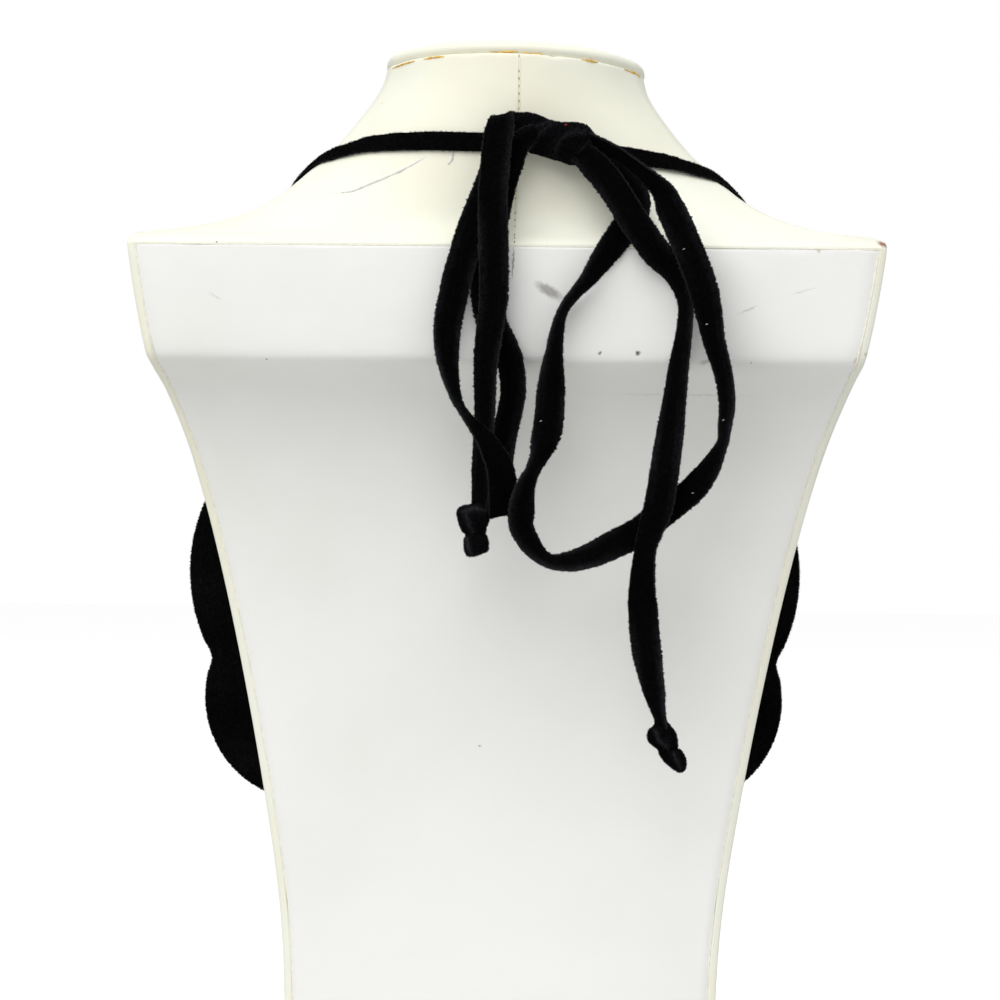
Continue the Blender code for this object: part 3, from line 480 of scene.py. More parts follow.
class BustSettings(bpy.types.PropertyGroup):
    """The covering of the bust."""

    cover: FloatVectorProperty(
        name="Cover", description="Cream leatherette", subtype="COLOR", default=to_linear("F3F4E6")
    )
    panel: FloatVectorProperty(
        name="Back panel", description="White leatherette", subtype="COLOR", default=to_linear("F4F4F1")
    )
    glue: FloatVectorProperty(
        name="Glue", description="Aged contact glue", subtype="COLOR", default=to_linear("DBAC32")
    )
    grain: FloatProperty(name="Grain", description="Width of a pebble", default=0.0011, unit="LENGTH")
    swell: FloatProperty(
        name="Swell", description="Padding that closes joints between pieces", default=0.00015, unit="LENGTH"
    )
    cap_swell: FloatProperty(
        name="Cap swell", description="Padding under the leather of the cap", default=0.0009, unit="LENGTH"
    )
    filler: FloatProperty(
        name="Filler", description="Radius of the glue in a joint", default=0.00042, unit="LENGTH"
    )
    stitch: FloatProperty(name="Stitch", description="From stitch to stitch", default=0.0026, unit="LENGTH")
    levels: IntProperty(name="Smoothing", description="Subdivisions of the bust", default=2, min=0, max=3)


class StageSettings(bpy.types.PropertyGroup):
    """The studio around the bust."""

    floor: FloatVectorProperty(
        name="Floor", description="Pale floor", subtype="COLOR", default=to_linear("CFCFCF")
    )
    glow: FloatProperty(name="Floor glow", description="Whitens the floor in view", default=0.60, min=0.0)
    surround: FloatProperty(name="Surround", description="Light from all round", default=0.56, min=0.0)
    key: FloatProperty(
        name="Key light", description="Power of the large soft light", default=39.0, unit="POWER"
    )
    fill: FloatProperty(
        name="Fill light", description="Power of the light from above", default=17.0, unit="POWER"
    )


def camera_place():
    """Where the camera of the photograph stands and how it is turned."""
    yaw = math.radians(CAMERA_YAW)
    spot = Vector(
        (
            CAMERA_AIM_X + CAMERA_DISTANCE * math.sin(yaw),
            -CAMERA_DISTANCE * math.cos(yaw),
            CAMERA_HEIGHT,
        )
    )
    upright = Matrix.Rotation(yaw, 4, "Z") @ Matrix.Rotation(math.radians(90), 4, "X")
    return Matrix.Translation(spot) @ upright @ Matrix.Rotation(math.radians(CAMERA_ROLL), 4, "Z")


def sight_line(px, py):
    """The direction from the camera through a pixel of the photograph."""
    line = Vector((px - PHOTO_MIDDLE, PHOTO_MIDDLE - py, -FOCAL_PIXELS))
    return (camera_place().to_3x3() @ line).normalized()


def on_plane(px, py, y):
    """The point seen at a pixel, at a depth y."""
    eye = camera_place().translation
    ray = sight_line(px, py)
    return eye + ray * ((y - eye.y) / ray.y)


def on_surface(px, py, tree):
    """The point seen at a pixel on a surface, or the nearest to it, and the way that it faces there."""
    hit, normal, _, _ = tree.ray_cast(camera_place().translation, sight_line(px, py))
    if hit is None:
        hit, normal, _, _ = tree.find_nearest(on_plane(px, py, BACK_FACE))
    return hit, normal


def pixel_of(point):
    """Where the photograph shows a point."""
    local = camera_place().inverted() @ point
    return Vector(
        (
            PHOTO_MIDDLE - FOCAL_PIXELS * local.x / local.z,
            PHOTO_MIDDLE + FOCAL_PIXELS * local.y / local.z,
        )
    )


def add_node(tree, kind, inputs=None, **settings):
    """A node with its settings. Each input, by name or by place, takes a value or another node's socket."""
    node = tree.nodes.new(kind)
    for name, value in settings.items():
        setattr(node, name, value)
    for name, value in (inputs or {}).items():
        if isinstance(name, int):
            socket = node.inputs[name]
        else:
            socket = next(s for s in node.inputs if s.name == name and s.enabled)
        if isinstance(value, bpy.types.NodeSocket):
            tree.links.new(value, socket)
        else:
            socket.default_value = value
    return node


def result(node, name):
    """The output of that name that the node has in use."""
    return next(s for s in node.outputs if s.name == name and s.enabled)


def new_material(name):
    """A material with its node tree and its shader."""
    material = bpy.data.materials.new(name)
    material.use_nodes = True
    return material, material.node_tree, material.node_tree.nodes["Principled BSDF"]


def marked(tree, place, colour, marks, surface):
    """The colour with soft-edged marks over it, each laid where the photograph shows it."""
    for mark in marks:
        spot, _ = on_surface(mark.px, mark.py, surface)
        depth = min(max(mark.length, mark.height) * PIXEL * MARK_REACH, MARK_DEPTH)
        half = (mark.length * PIXEL, depth, mark.height * PIXEL)
        local = add_node(
            tree,
            "ShaderNodeMapping",
            {"Vector": place, "Location": spot, "Rotation": (0, -math.radians(mark.turn), 0), "Scale": half},
            vector_type="TEXTURE",
        )
        reach = add_node(tree, "ShaderNodeVectorMath", {0: result(local, "Vector")}, operation="LENGTH")
        share = add_node(
            tree,
            "ShaderNodeMapRange",
            {
                "Value": result(reach, "Value"),
                "From Min": MARK_WHOLE,
                "From Max": MARK_GONE,
                "To Min": mark.strength,
                "To Max": 0.0,
            },
        )
        blend = add_node(
            tree,
            "ShaderNodeMix",
            {"Factor": result(share, "Result"), "A": colour, "B": (*to_linear(mark.colour), 1.0)},
            data_type="RGBA",
        )
        colour = result(blend, "Result")
    return colour


def leatherette(name, colour, yellowed, marks, surface, grain):
    """PVC leatherette, calendered over a pressed grain: a soft low gloss with faint pebbles, and a
    coating that has yellowed and greyed in patches with handling."""
    material, tree, shader = new_material(name)
    place = result(add_node(tree, "ShaderNodeTexCoord"), "Object")
    patches = add_node(tree, "ShaderNodeTexNoise", {"Vector": place, "Scale": PATCH_WAVES, "Detail": 5.0})
    aged = add_node(
        tree,
        "ShaderNodeMapRange",
        {"Value": result(patches, "Fac"), "From Min": 0.42, "From Max": 0.72, "To Min": 0.0, "To Max": 0.5},
    )
    base = add_node(
        tree,
        "ShaderNodeMix",
        {"Factor": result(aged, "Result"), "A": (*colour, 1.0), "B": (*to_linear(yellowed), 1.0)},
        data_type="RGBA",
    )
    ragged = add_node(tree, "ShaderNodeTexNoise", {"Vector": place, "Scale": RAGGED_WAVES, "Detail": 3.0})
    centred = add_node(
        tree, "ShaderNodeVectorMath", {0: result(ragged, "Color"), 1: (0.5, 0.5, 0.5)}, operation="SUBTRACT"
    )
    frayed = add_node(
        tree,
        "ShaderNodeVectorMath",
        {0: result(centred, "Vector"), 1: (MARK_FRAY, MARK_FRAY, MARK_FRAY), 2: place},
        operation="MULTIPLY_ADD",
    )
    painted = marked(tree, result(frayed, "Vector"), result(base, "Result"), marks, surface)
    tree.links.new(painted, shader.inputs["Base Color"])
    # The real pebbles are near half a millimetre across and are drawn twice as coarse, so that they show.
    # They are an eighth as deep as they are wide, and the sheet under them waves by a millimetre.
    pebbles = add_node(
        tree,
        "ShaderNodeTexVoronoi",
        {"Vector": place, "Scale": 1 / grain, "Smoothness": 0.8},
        feature="SMOOTH_F1",
    )
    waves = add_node(tree, "ShaderNodeTexNoise", {"Vector": place, "Scale": SHEET_WAVES, "Detail": 3.0})
    pressed = add_node(
        tree,
        "ShaderNodeBump",
        {"Height": result(pebbles, "Distance"), "Strength": 0.10, "Distance": grain * 0.12},
    )
    uneven = add_node(
        tree,
        "ShaderNodeBump",
        {
            "Height": result(waves, "Fac"),
            "Strength": 0.25,
            "Distance": 0.0012,
            "Normal": result(pressed, "Normal"),
        },
    )
    tree.links.new(result(uneven, "Normal"), shader.inputs["Normal"])
    gloss = add_node(
        tree,
        "ShaderNodeMapRange",
        {"Value": result(waves, "Fac"), "From Min": 0.3, "From Max": 0.7, "To Min": 0.46, "To Max": 0.60},
    )
    tree.links.new(result(gloss, "Result"), shader.inputs["Roughness"])
    shader.inputs["IOR"].default_value = 1.50
    shader.inputs["Specular IOR Level"].default_value = 0.35
    return material


def black_velvet(settings):
    """Rayon velvet, woven and sheared: it swallows light into the pile, and a grey sheen painted into its
    colour lightens it only where the tufts are seen from the side, along folds and curled edges. The pile
    lies in patches."""
    material, tree, shader = new_material("black rayon velvet")
    place = result(add_node(tree, "ShaderNodeTexCoord"), "Object")
    along = result(add_node(tree, "ShaderNodeAttribute", attribute_name="along"), "Fac")
    across = result(add_node(tree, "ShaderNodeAttribute", attribute_name="across"), "Fac")
    bloom = result(add_node(tree, "ShaderNodeAttribute", attribute_name="bloom"), "Fac")
    # Brushed patches, some 22 mm along the ribbon and 3 mm across it, where across is 1 at its edges
    lie = add_node(tree, "ShaderNodeCombineXYZ", {"X": along, "Y": across})
    streaks = add_node(
        tree, "ShaderNodeMapping", {"Vector": result(lie, "Vector"), "Scale": (45.0, 1.6, 1.0)}
    )
    brushed = add_node(
        tree, "ShaderNodeTexNoise", {"Vector": result(streaks, "Vector"), "Scale": 1.0, "Detail": 4.0}
    )
    tufts = add_node(tree, "ShaderNodeTexNoise", {"Vector": place, "Scale": CLUMP_WAVES, "Detail": 2.0})
    patchy = add_node(
        tree,
        "ShaderNodeMapRange",
        {"Value": result(brushed, "Fac"), "From Min": 0.32, "From Max": 0.66, "To Min": 0.15, "To Max": 1.0},
    )
    # Painted sheen: the base colour is lightened by the sheen attribute, broken up by the brushed patches
    lit = add_node(
        tree,
        "ShaderNodeMath",
        {0: bloom, 1: result(patchy, "Result")},
        operation="MULTIPLY",
    )
    raised = add_node(
        tree,
        "ShaderNodeMath",
        {0: result(lit, "Value"), 1: settings.bloom, 2: 0.55},
        operation="MULTIPLY_ADD",
    )
    mottled = add_node(
        tree,
        "ShaderNodeMapRange",
        {"Value": result(tufts, "Fac"), "From Min": 0.3, "From Max": 0.7, "To Min": 0.5, "To Max": 1.5},
    )
    lift = add_node(
        tree,
        "ShaderNodeMath",
        {0: result(raised, "Value"), 1: result(mottled, "Result")},
        operation="MULTIPLY",
    )
    ground = add_node(
        tree,
        "ShaderNodeVectorMath",
        {0: settings.colour, "Scale": result(lift, "Value")},
        operation="SCALE",
    )
    # Selvedge colour near the ribbon's edges, partly the woven edge and partly a painted highlight
    side = add_node(tree, "ShaderNodeMath", {0: across}, operation="ABSOLUTE")
    selvedge_highlight = add_node(
        tree,
        "ShaderNodeMapRange",
        {"Value": result(side, "Value"), "From Min": 0.90, "From Max": 0.98, "To Min": 0.0, "To Max": 0.7},
    )
    base = add_node(
        tree,
        "ShaderNodeMix",
        {
            "Factor": result(selvedge_highlight, "Result"),
            "A": result(ground, "Vector"),
            "B": (*settings.selvedge_highlight_colour, 1.0),
        },
        data_type="RGBA",
    )
    tree.links.new(result(base, "Result"), shader.inputs["Base Color"])
    nap = add_node(
        tree, "ShaderNodeBump", {"Height": result(tufts, "Fac"), "Strength": 0.2, "Distance": 0.0004}
    )
    tree.links.new(result(nap, "Normal"), shader.inputs["Normal"])
    shader.inputs["Roughness"].default_value = 0.95
    shader.inputs["Specular IOR Level"].default_value = 0.02
    shader.inputs["Sheen Weight"].default_value = 0.10
    shader.inputs["Sheen Roughness"].default_value = 0.22
    shader.inputs["Sheen Tint"].default_value = (*to_linear("DCE2E0"), 1.0)
    return material


def plain_finish(name, colour, roughness, speckle):
    """A small thing's finish: its colour broken up by a fine mottle."""
    material, tree, shader = new_material(name)
    place = result(add_node(tree, "ShaderNodeTexCoord"), "Object")
    mottle = add_node(tree, "ShaderNodeTexNoise", {"Vector": place, "Scale": MOTTLE_WAVES, "Detail": 3.0})
    share = add_node(
        tree,
        "ShaderNodeMapRange",
        {
            "Value": result(mottle, "Fac"),
            "From Min": 0.35,
            "From Max": 0.65,
            "To Min": 1.0 - speckle,
            "To Max": 1.0 + speckle,
        },
    )
    base = add_node(
        tree, "ShaderNodeVectorMath", {0: colour, "Scale": result(share, "Result")}, operation="SCALE"
    )
    tree.links.new(result(base, "Vector"), shader.inputs["Base Color"])
    shader.inputs["Roughness"].default_value = roughness
    return material


def velvet():
    """The velvet of the whole necklace, made the first time that it is asked for."""
    return bpy.data.materials.get("black rayon velvet") or black_velvet(bpy.context.scene.velvet)


def add_object(name, mesh, material):
    """An object of one material in the scene."""
    mesh.materials.clear()
    mesh.materials.append(material)
    obj = bpy.data.objects.new(name, mesh)
    bpy.context.scene.collection.objects.link(obj)
    return obj


def mesh_of(name, points, faces):
    """A smooth-shaded mesh of points and faces."""
    mesh = bpy.data.meshes.new(name)
    mesh.from_pydata([tuple(p) for p in points], [], faces)
    mesh.update()
    mesh.shade_smooth()
    return mesh


def plain(obj):
    """The object with its modifiers worked into a plain mesh."""
    depsgraph = bpy.context.evaluated_depsgraph_get()
    mesh = bpy.data.meshes.new_from_object(obj.evaluated_get(depsgraph))
    obj.modifiers.clear()
    obj.data = mesh
    return obj


def dressed_copy(node, name, material, levels, crease, swell=0.0):
    """A CAD node's mesh, merged and smoothed, with its hard edges kept as tight as crease says, and padded
    out by swell. An edge on the ground stays sharp."""
    mesh = frame["nodes"][node].data.copy()
    solid = bmesh.new()
    solid.from_mesh(mesh)
    bmesh.ops.remove_doubles(solid, verts=solid.verts, dist=MERGE_DISTANCE)
    bmesh.ops.join_triangles(
        solid, faces=solid.faces, angle_face_threshold=JOIN_FLATNESS, angle_shape_threshold=JOIN_SHAPE
    )
    tight = solid.edges.layers.float.new("crease_edge")
    for edge in solid.edges:
        if len(edge.link_faces) == 2 and edge.calc_face_angle() > CREASE_ANGLE:
            grounded = max(vertex.co.z for vertex in edge.verts) < MERGE_DISTANCE
            edge[tight] = 1.0 if grounded else crease
            edge.smooth = not grounded
    solid.to_mesh(mesh)
    solid.free()
    mesh.shade_smooth()
    obj = add_object(name, mesh, material)
    smooth = obj.modifiers.new("Smoothing", "SUBSURF")
    smooth.levels = levels
    smooth.render_levels = levels
    plain(obj)
    for vertex, normal in zip(obj.data.vertices, [v.normal.copy() for v in obj.data.vertices]):
        vertex.co += normal * swell
    obj.data.update()
    return obj


def surface_tree(*objects):
    """One search tree over the faces of several plain meshes."""
    points = []
    faces = []
    for obj in objects:
        start = len(points)
        points += [v.co.copy() for v in obj.data.vertices]
        faces += [[start + i for i in face.vertices] for face in obj.data.polygons]
    return BVHTree.FromPolygons(points, faces)


def join_piece(obj, slot_name, *nodes):
    """Makes a finished piece part of the object: it rides with the root body and stands for its nodes, which
    it hides. The slot name is not used.
    """
    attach(obj, "root")
    if nodes:
        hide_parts(*nodes)
    return obj


def smooth_path(points, steps):
    """Vectors along a smooth curve through the given ones, of any length."""
    path = []
    count = len(points)
    for i in range(count - 1):
        before = points[max(i - 1, 0)]
        here = points[i]
        there = points[i + 1]
        after = points[min(i + 2, count - 1)]
        for k in range(steps):
            t = k / steps
            path.append(
                0.5
                * (
                    2 * here
                    + (there - before) * t
                    + (2 * before - 5 * here + 4 * there - after) * t * t
                    + (3 * here - before - 3 * there + after) * t**3
                )
            )
    path.append(points[-1].copy())
    return path


def tangents(path):
    """The direction in which a path runs at each of its points."""
    last = len(path) - 1
    return [(path[min(i + 1, last)] - path[max(i - 1, 0)]).normalized() for i in range(last + 1)]


def sides_from_turn(path, turns):
    """The direction across the ribbon at each point, from its turn out of the plane of the back."""
    sides = []
    flat = None
    for along, turn in zip(tangents(path), turns):
        level = Vector((-along.z, 0.0, along.x))
        # Where the ribbon runs nearly straight in or out, it stays as level as it was
        if level.length < 0.35 and flat is not None:
            level = flat - along * flat.dot(along)
        level.normalize()
        if flat is not None and level.dot(flat) < 0:
            level = -level
        flat = level
        sides.append(Matrix.Rotation(math.radians(turn), 3, along) @ level)
    return sides


def skin(rings):
    """Points and faces of a closed body through rings of equally many points."""
    count = len(rings[0])
    points = [p for ring in rings for p in ring]
    faces = [tuple(reversed(range(count)))]
    for i in range(len(rings) - 1):
        for j in range(count):
            k = (j + 1) % count
            faces.append((i * count + j, i * count + k, (i + 1) * count + k, (i + 1) * count + j))
    last = (len(rings) - 1) * count
    faces.append(tuple(last + j for j in range(count)))
    return points, faces


def set_nap(mesh, **values):
    """Gives the velvet what it reads at each point of a mesh: how far along and across the cloth it lies,
    how thickly tufts stand at its fringe, and the painted sheen of pile that is seen from the side."""
    for name, points in values.items():
        attribute = mesh.attributes.get(name) or mesh.attributes.new(name, "FLOAT", "POINT")
        attribute.data.foreach_set("value", points)


def outwards(mesh):
    """Turns all faces of a closed mesh outwards."""
    solid = bmesh.new()
    solid.from_mesh(mesh)
    bmesh.ops.recalc_face_normals(solid, faces=solid.faces)
    solid.to_mesh(mesh)
    solid.free()


def path_length(path):
    """The length of a path from end to end."""
    return sum((b - a).length for a, b in zip(path, path[1:]))


def rounded(value, power):
    """A sine or cosine drawn towards 1, which makes a circle squarer."""
    return math.copysign(abs(value) ** power, value)


def ribbon_mesh(name, path, sides, settings):
    """A velvet ribbon along a path: a soft-edged band whose edges curl back and wander a little."""
    rings = []
    along_values = []
    across_values = []
    blooms = []
    run = 0.0
    before = path[0]
    whole = path_length(path)
    for point, ahead, side in zip(path, tangents(path), sides):
        run += (point - before).length
        before = point
        face = ahead.cross(side).normalized()
        open_share = min(min(run, whole - run) / settings.gather, 1.0)
        width = settings.width * (settings.squeeze + (1 - settings.squeeze) * open_share)
        ring = []
        for k in range(BAND_SIDES):
            angle = 2 * math.pi * k / BAND_SIDES
            # Powers under 1 turn the round section into a flat band with soft corners
            across = rounded(math.cos(angle), 0.55)
            up = rounded(math.sin(angle), 0.75)
            wander = 0.03 * noise.noise(Vector((run * WIDTH_WAVES, across * 0.7, 0.0))) * width / 2
            tooth = noise.noise(Vector((run * EDGE_WAVES, math.copysign(5.0, across), 0.0)))
            ragged = settings.teeth * tooth
            crinkle = 0.00022 * noise.noise(Vector((run * FACE_WAVES, across * 1.3, 7.0)))
            lift = up * settings.thickness / 2 - settings.cup * across**2 + crinkle
            reach = across * (width / 2 + wander + ragged * abs(across) ** 6)
            ring.append(point + side * reach + face * lift)
            along_values.append(run)
            across_values.append(across)
            # Painted sheen, strongest at the curled edges, brighter on one side in patches along the ribbon
            brushed = noise.noise(Vector((run * PAINTED_SHEEN_WAVES, math.copysign(9.0, across), 3.0)))
            one_sided = 0.5 + 1.6 * brushed
            blooms.append(abs(across) ** 3 * min(max(one_sided, 0.12), 1.0))
        rings.append(ring)
    mesh = mesh_of(name, *skin(rings))
    outwards(mesh)
    # A few tufts all over, and nearly all of them at the two edges
    fringe = [0.05 + 0.95 * abs(a) ** 10 for a in across_values]
    set_nap(mesh, along=along_values, across=across_values, fringe=fringe, bloom=blooms)
    return mesh


def open_tree(name, *inputs):
    """A Geometry Nodes tree and its input node, which gives a mesh, the named inputs and a material."""
    tree = bpy.data.node_groups.new(name, "GeometryNodeTree")
    for label in ("Geometry", *inputs, "Material"):
        kind = {"Geometry": "Geometry", "Seed": "Int", "Material": "Material"}.get(label, "Float")
        tree.interface.new_socket(name=label, in_out="INPUT", socket_type="NodeSocket" + kind)
    tree.interface.new_socket(name="Geometry", in_out="OUTPUT", socket_type="NodeSocketGeometry")
    return tree, add_node(tree, "NodeGroupInput")


def close_tree(tree, start, geometry):
    """Ends a tree with real geometry in the material that its input node gives."""
    real = add_node(tree, "GeometryNodeRealizeInstances", {"Geometry": geometry})
    coat = add_node(
        tree,
        "GeometryNodeSetMaterial",
        {"Geometry": result(real, "Geometry"), "Material": result(start, "Material")},
    )
    add_node(tree, "NodeGroupOutput", {"Geometry": result(coat, "Geometry")})
    return tree


def pile_tree():
    """Geometry nodes that stand tufts of pile on a surface, thickest where its fringe value is 1."""
    found = bpy.data.node_groups.get("Velvet pile")
    if found:
        return found
    tree, start = open_tree("Velvet pile", "Length", "Radius", "Density", "Tilt", "Seed")
    seed = result(start, "Seed")
    fringe = add_node(tree, "GeometryNodeInputNamedAttribute", {"Name": "fringe"}, data_type="FLOAT")
    density = add_node(
        tree,
        "ShaderNodeMath",
        {0: result(start, "Density"), 1: result(fringe, "Attribute")},
        operation="MULTIPLY",
    )
    scatter = add_node(
        tree,
        "GeometryNodeDistributePointsOnFaces",
        {"Mesh": result(start, "Geometry"), "Density": result(density, "Value"), "Seed": seed},
    )
    tuft = add_node(
        tree,
        "GeometryNodeMeshCone",
        {
            "Vertices": 3,
            "Radius Top": 0.0,
            "Radius Bottom": result(start, "Radius"),
            "Depth": result(start, "Length"),
        },
    )
    lean_back = add_node(tree, "ShaderNodeMath", {0: result(start, "Tilt"), 1: -1.0}, operation="MULTIPLY")
    low = add_node(
        tree, "ShaderNodeCombineXYZ", {"X": result(lean_back, "Value"), "Y": result(lean_back, "Value")}
    )
    high = add_node(
        tree,
        "ShaderNodeCombineXYZ",
        {"X": result(start, "Tilt"), "Y": result(start, "Tilt"), "Z": 2 * math.pi},
    )
    lean = add_node(
        tree,
        "FunctionNodeRandomValue",
        {"Min": result(low, "Vector"), "Max": result(high, "Vector"), "Seed": seed},
        data_type="FLOAT_VECTOR",
    )
    turn = add_node(tree, "FunctionNodeEulerToRotation", {"Euler": result(lean, "Value")})
    placed = add_node(
        tree,
        "FunctionNodeRotateRotation",
        {"Rotation": result(scatter, "Rotation"), "Rotate By": result(turn, "Rotation")},
        rotation_space="LOCAL",
    )
    size = add_node(
        tree, "FunctionNodeRandomValue", {"Min": 0.45, "Max": 1.15, "Seed": seed}, data_type="FLOAT"
    )
    stand = add_node(
        tree,
        "GeometryNodeInstanceOnPoints",
        {
            "Points": result(scatter, "Points"),
            "Instance": result(tuft, "Mesh"),
            "Rotation": result(placed, "Rotation"),
            "Scale": result(size, "Value"),
        },
    )
    return close_tree(tree, start, result(stand, "Instances"))


def with_nodes(name, mesh, tree, values, material):
    """A plain object that a Geometry Nodes tree makes from a mesh, with named inputs set by identifier."""
    obj = add_object(name, mesh, material)
    modifier = obj.modifiers.new("Nodes", "NODES")
    modifier.node_group = tree
    for item in tree.interface.items_tree:
        if item.item_type == "SOCKET" and item.in_out == "INPUT" and item.name in values:
            modifier[item.identifier] = values[item.name]
    return plain(obj)


def grow_pile(base, name, slot_name, seed, density_share=1.0):
    """The tufts that stand on a piece of velvet."""
    settings = bpy.context.scene.velvet
    values = {
        "Length": settings.pile_length,
        "Radius": settings.pile_radius,
        "Density": settings.pile_density * density_share * 1e6,
        "Tilt": TUFT_TILT,
        "Seed": seed,
        "Material": velvet(),
    }
    pile = with_nodes(name, base.data.copy(), pile_tree(), values, velvet())
    return join_piece(pile, slot_name)


def stitch_tree():
    """Geometry nodes that lay stitches along a line, with some worn away."""
    tree, start = open_tree("Seam stitches", "Spacing", "Length", "Radius", "Kept", "Seed")
    seed = result(start, "Seed")
    line = add_node(tree, "GeometryNodeMeshToCurve", {"Mesh": result(start, "Geometry")})
    steps = add_node(
        tree,
        "GeometryNodeCurveToPoints",
        {"Curve": result(line, "Curve"), "Length": result(start, "Spacing")},
        mode="LENGTH",
    )
    thread = add_node(
        tree,
        "GeometryNodeMeshCylinder",
        {"Vertices": 6, "Radius": result(start, "Radius"), "Depth": result(start, "Length")},
    )
    kept = add_node(
        tree,
        "FunctionNodeRandomValue",
        {"Probability": result(start, "Kept"), "Seed": seed},
        data_type="BOOLEAN",
    )
    size = add_node(
        tree, "FunctionNodeRandomValue", {"Min": 0.6, "Max": 1.2, "Seed": seed}, data_type="FLOAT"
    )
    stand = add_node(
        tree,
        "GeometryNodeInstanceOnPoints",
        {
            "Points": result(steps, "Points"),
            "Selection": result(kept, "Value"),
            "Instance": result(thread, "Mesh"),
            "Rotation": result(steps, "Rotation"),
            "Scale": result(size, "Value"),
        },
    )
    return close_tree(tree, start, result(stand, "Instances"))


def bead_tree():
    """Geometry nodes that lay a round bead along the edges of a mesh."""
    tree, start = open_tree("Joint bead", "Radius")
    line = add_node(tree, "GeometryNodeMeshToCurve", {"Mesh": result(start, "Geometry")})
    section = add_node(
        tree, "GeometryNodeCurvePrimitiveCircle", {"Resolution": 8, "Radius": result(start, "Radius")}
    )
    bead = add_node(
        tree,
        "GeometryNodeCurveToMesh",
        {"Curve": result(line, "Curve"), "Profile Curve": result(section, "Curve"), "Fill Caps": True},
    )
    return close_tree(tree, start, result(bead, "Mesh"))


def panel_outline(node):
    """The edges round the outer face of a panel, in the middle of the joint round it."""
    solid = bmesh.new()
    solid.from_mesh(frame["nodes"][node].data)
    bmesh.ops.remove_doubles(solid, verts=solid.verts, dist=MERGE_DISTANCE)
    shifts = {}
    edges = []
    for edge in solid.edges:
        # Between a face that looks back and one that looks to a side or up
        normals = sorted((face.normal for face in edge.link_faces), key=lambda n: n.y)
        if len(normals) < 2 or normals[0].y > -0.1 or max(abs(normals[1].x), normals[1].z) < 0.7:
            continue
        edges.append(edge)
        for vertex in edge.verts:
            shifts.setdefault(vertex, []).append(normals[1].copy())
    order = list(shifts)
    points = []
    for vertex in order:
        away = sum(shifts[vertex], Vector()).normalized()
        points.append(vertex.co + away * JOINT_WIDTH / 2 + Vector((0, JOINT_DEPTH, 0)))
    mesh = bpy.data.meshes.new("panel outline")
    mesh.from_pydata(points, [[order.index(v) for v in edge.verts] for edge in edges], [])
    solid.free()
    return mesh


def path_on_surface(line, tree, steps):
    """A smooth path through the points that a surface shows along a line of pixels."""
    return smooth_path([on_surface(px, py, tree)[0] for px, py in line], steps)


def strip_on_surface(name, line, tree, profile):
    """A narrow strip laid on a surface along a line of pixels. Its profile is (across, up) in metres."""
    path = path_on_surface(line, tree, LINE_STEPS)
    settled = [tree.find_nearest(p) for p in path]
    rings = []
    for (spot, normal, _, _), along in zip(settled, tangents(path)):
        side = along.cross(normal).normalized()
        rings.append([spot + side * across + normal * up for across, up in profile])
    mesh = mesh_of(name, *skin(rings))
    outwards(mesh)
    return mesh


def bead_on_surface(name, line, tree, bead, seed):
    """A rounded uneven bead laid on a surface along a line of pixels, thin at its ends."""
    path = path_on_surface(line, tree, LINE_STEPS)
    last = len(path) - 1
    rings = []
    for i, (point, along) in enumerate(zip(path, tangents(path))):
        spot, normal, _, _ = tree.find_nearest(point)
        side = along.cross(normal).normalized()
        swell = 0.75 + 0.5 * noise.noise(Vector((i * 0.9, seed * 3.1, 0.0)))
        size = bead.radius * swell * max(math.sin(math.pi * (i + 0.35) / (last + 0.7)), 0.05) ** 0.5
        middle = spot + normal * (size - bead.sink)
        angles = [2 * math.pi * k / BEAD_SIDES for k in range(BEAD_SIDES)]
        rings.append([middle + side * size * math.cos(a) + normal * size * math.sin(a) for a in angles])
    mesh = mesh_of(name, *skin(rings))
    outwards(mesh)
    return mesh


def joined(name, meshes):
    """One mesh that holds several."""
    whole = bmesh.new()
    for mesh in meshes:
        whole.from_mesh(mesh)
        bpy.data.meshes.remove(mesh)
    mesh = bpy.data.meshes.new(name)
    whole.to_mesh(mesh)
    whole.free()
    return mesh


def laid_beads(name, slot_name, finish, lines, tree, bead, seed):
    """One piece of all the beads that lie along lines of pixels on a surface."""
    beads = [bead_on_surface(f"{name} {i}", line, tree, bead, seed + i) for i, line in enumerate(lines)]
    return join_piece(add_object(name, joined(name, beads), finish), slot_name)


def fold_distance(fold, pixel):
    """Pixels from a fold's line, positive on its right."""
    nearest = None
    for a, b in zip(fold.points, fold.points[1:]):
        start = Vector(a)
        run = Vector(b) - start
        share = min(max((pixel - start).dot(run) / run.length_squared, 0.0), 1.0)
        gap = pixel - start - run * share
        side = run.x * gap.y - run.y * gap.x
        if nearest is None or gap.length < abs(nearest):
            nearest = math.copysign(gap.length, side)
    return nearest


def fold_offset(fold, pixel):
    """How far a fold moves the surface out at a pixel, in metres."""
    nearest = fold_distance(fold, pixel)
    height = fold.height * MILLIMETRE
    if fold.kind == "crease":
        return -height * math.exp(-((nearest / fold.reach) ** 2))
    rise = 1 / (1 + math.exp(-nearest / FOLD_EDGE))
    fall = math.exp(-max(nearest, 0.0) / fold.reach)
    under = -FOLD_UNDERCUT * math.exp(min(nearest, 0.0) / (fold.reach * 0.35))
    return height * (rise * fall + under * (1 - rise))


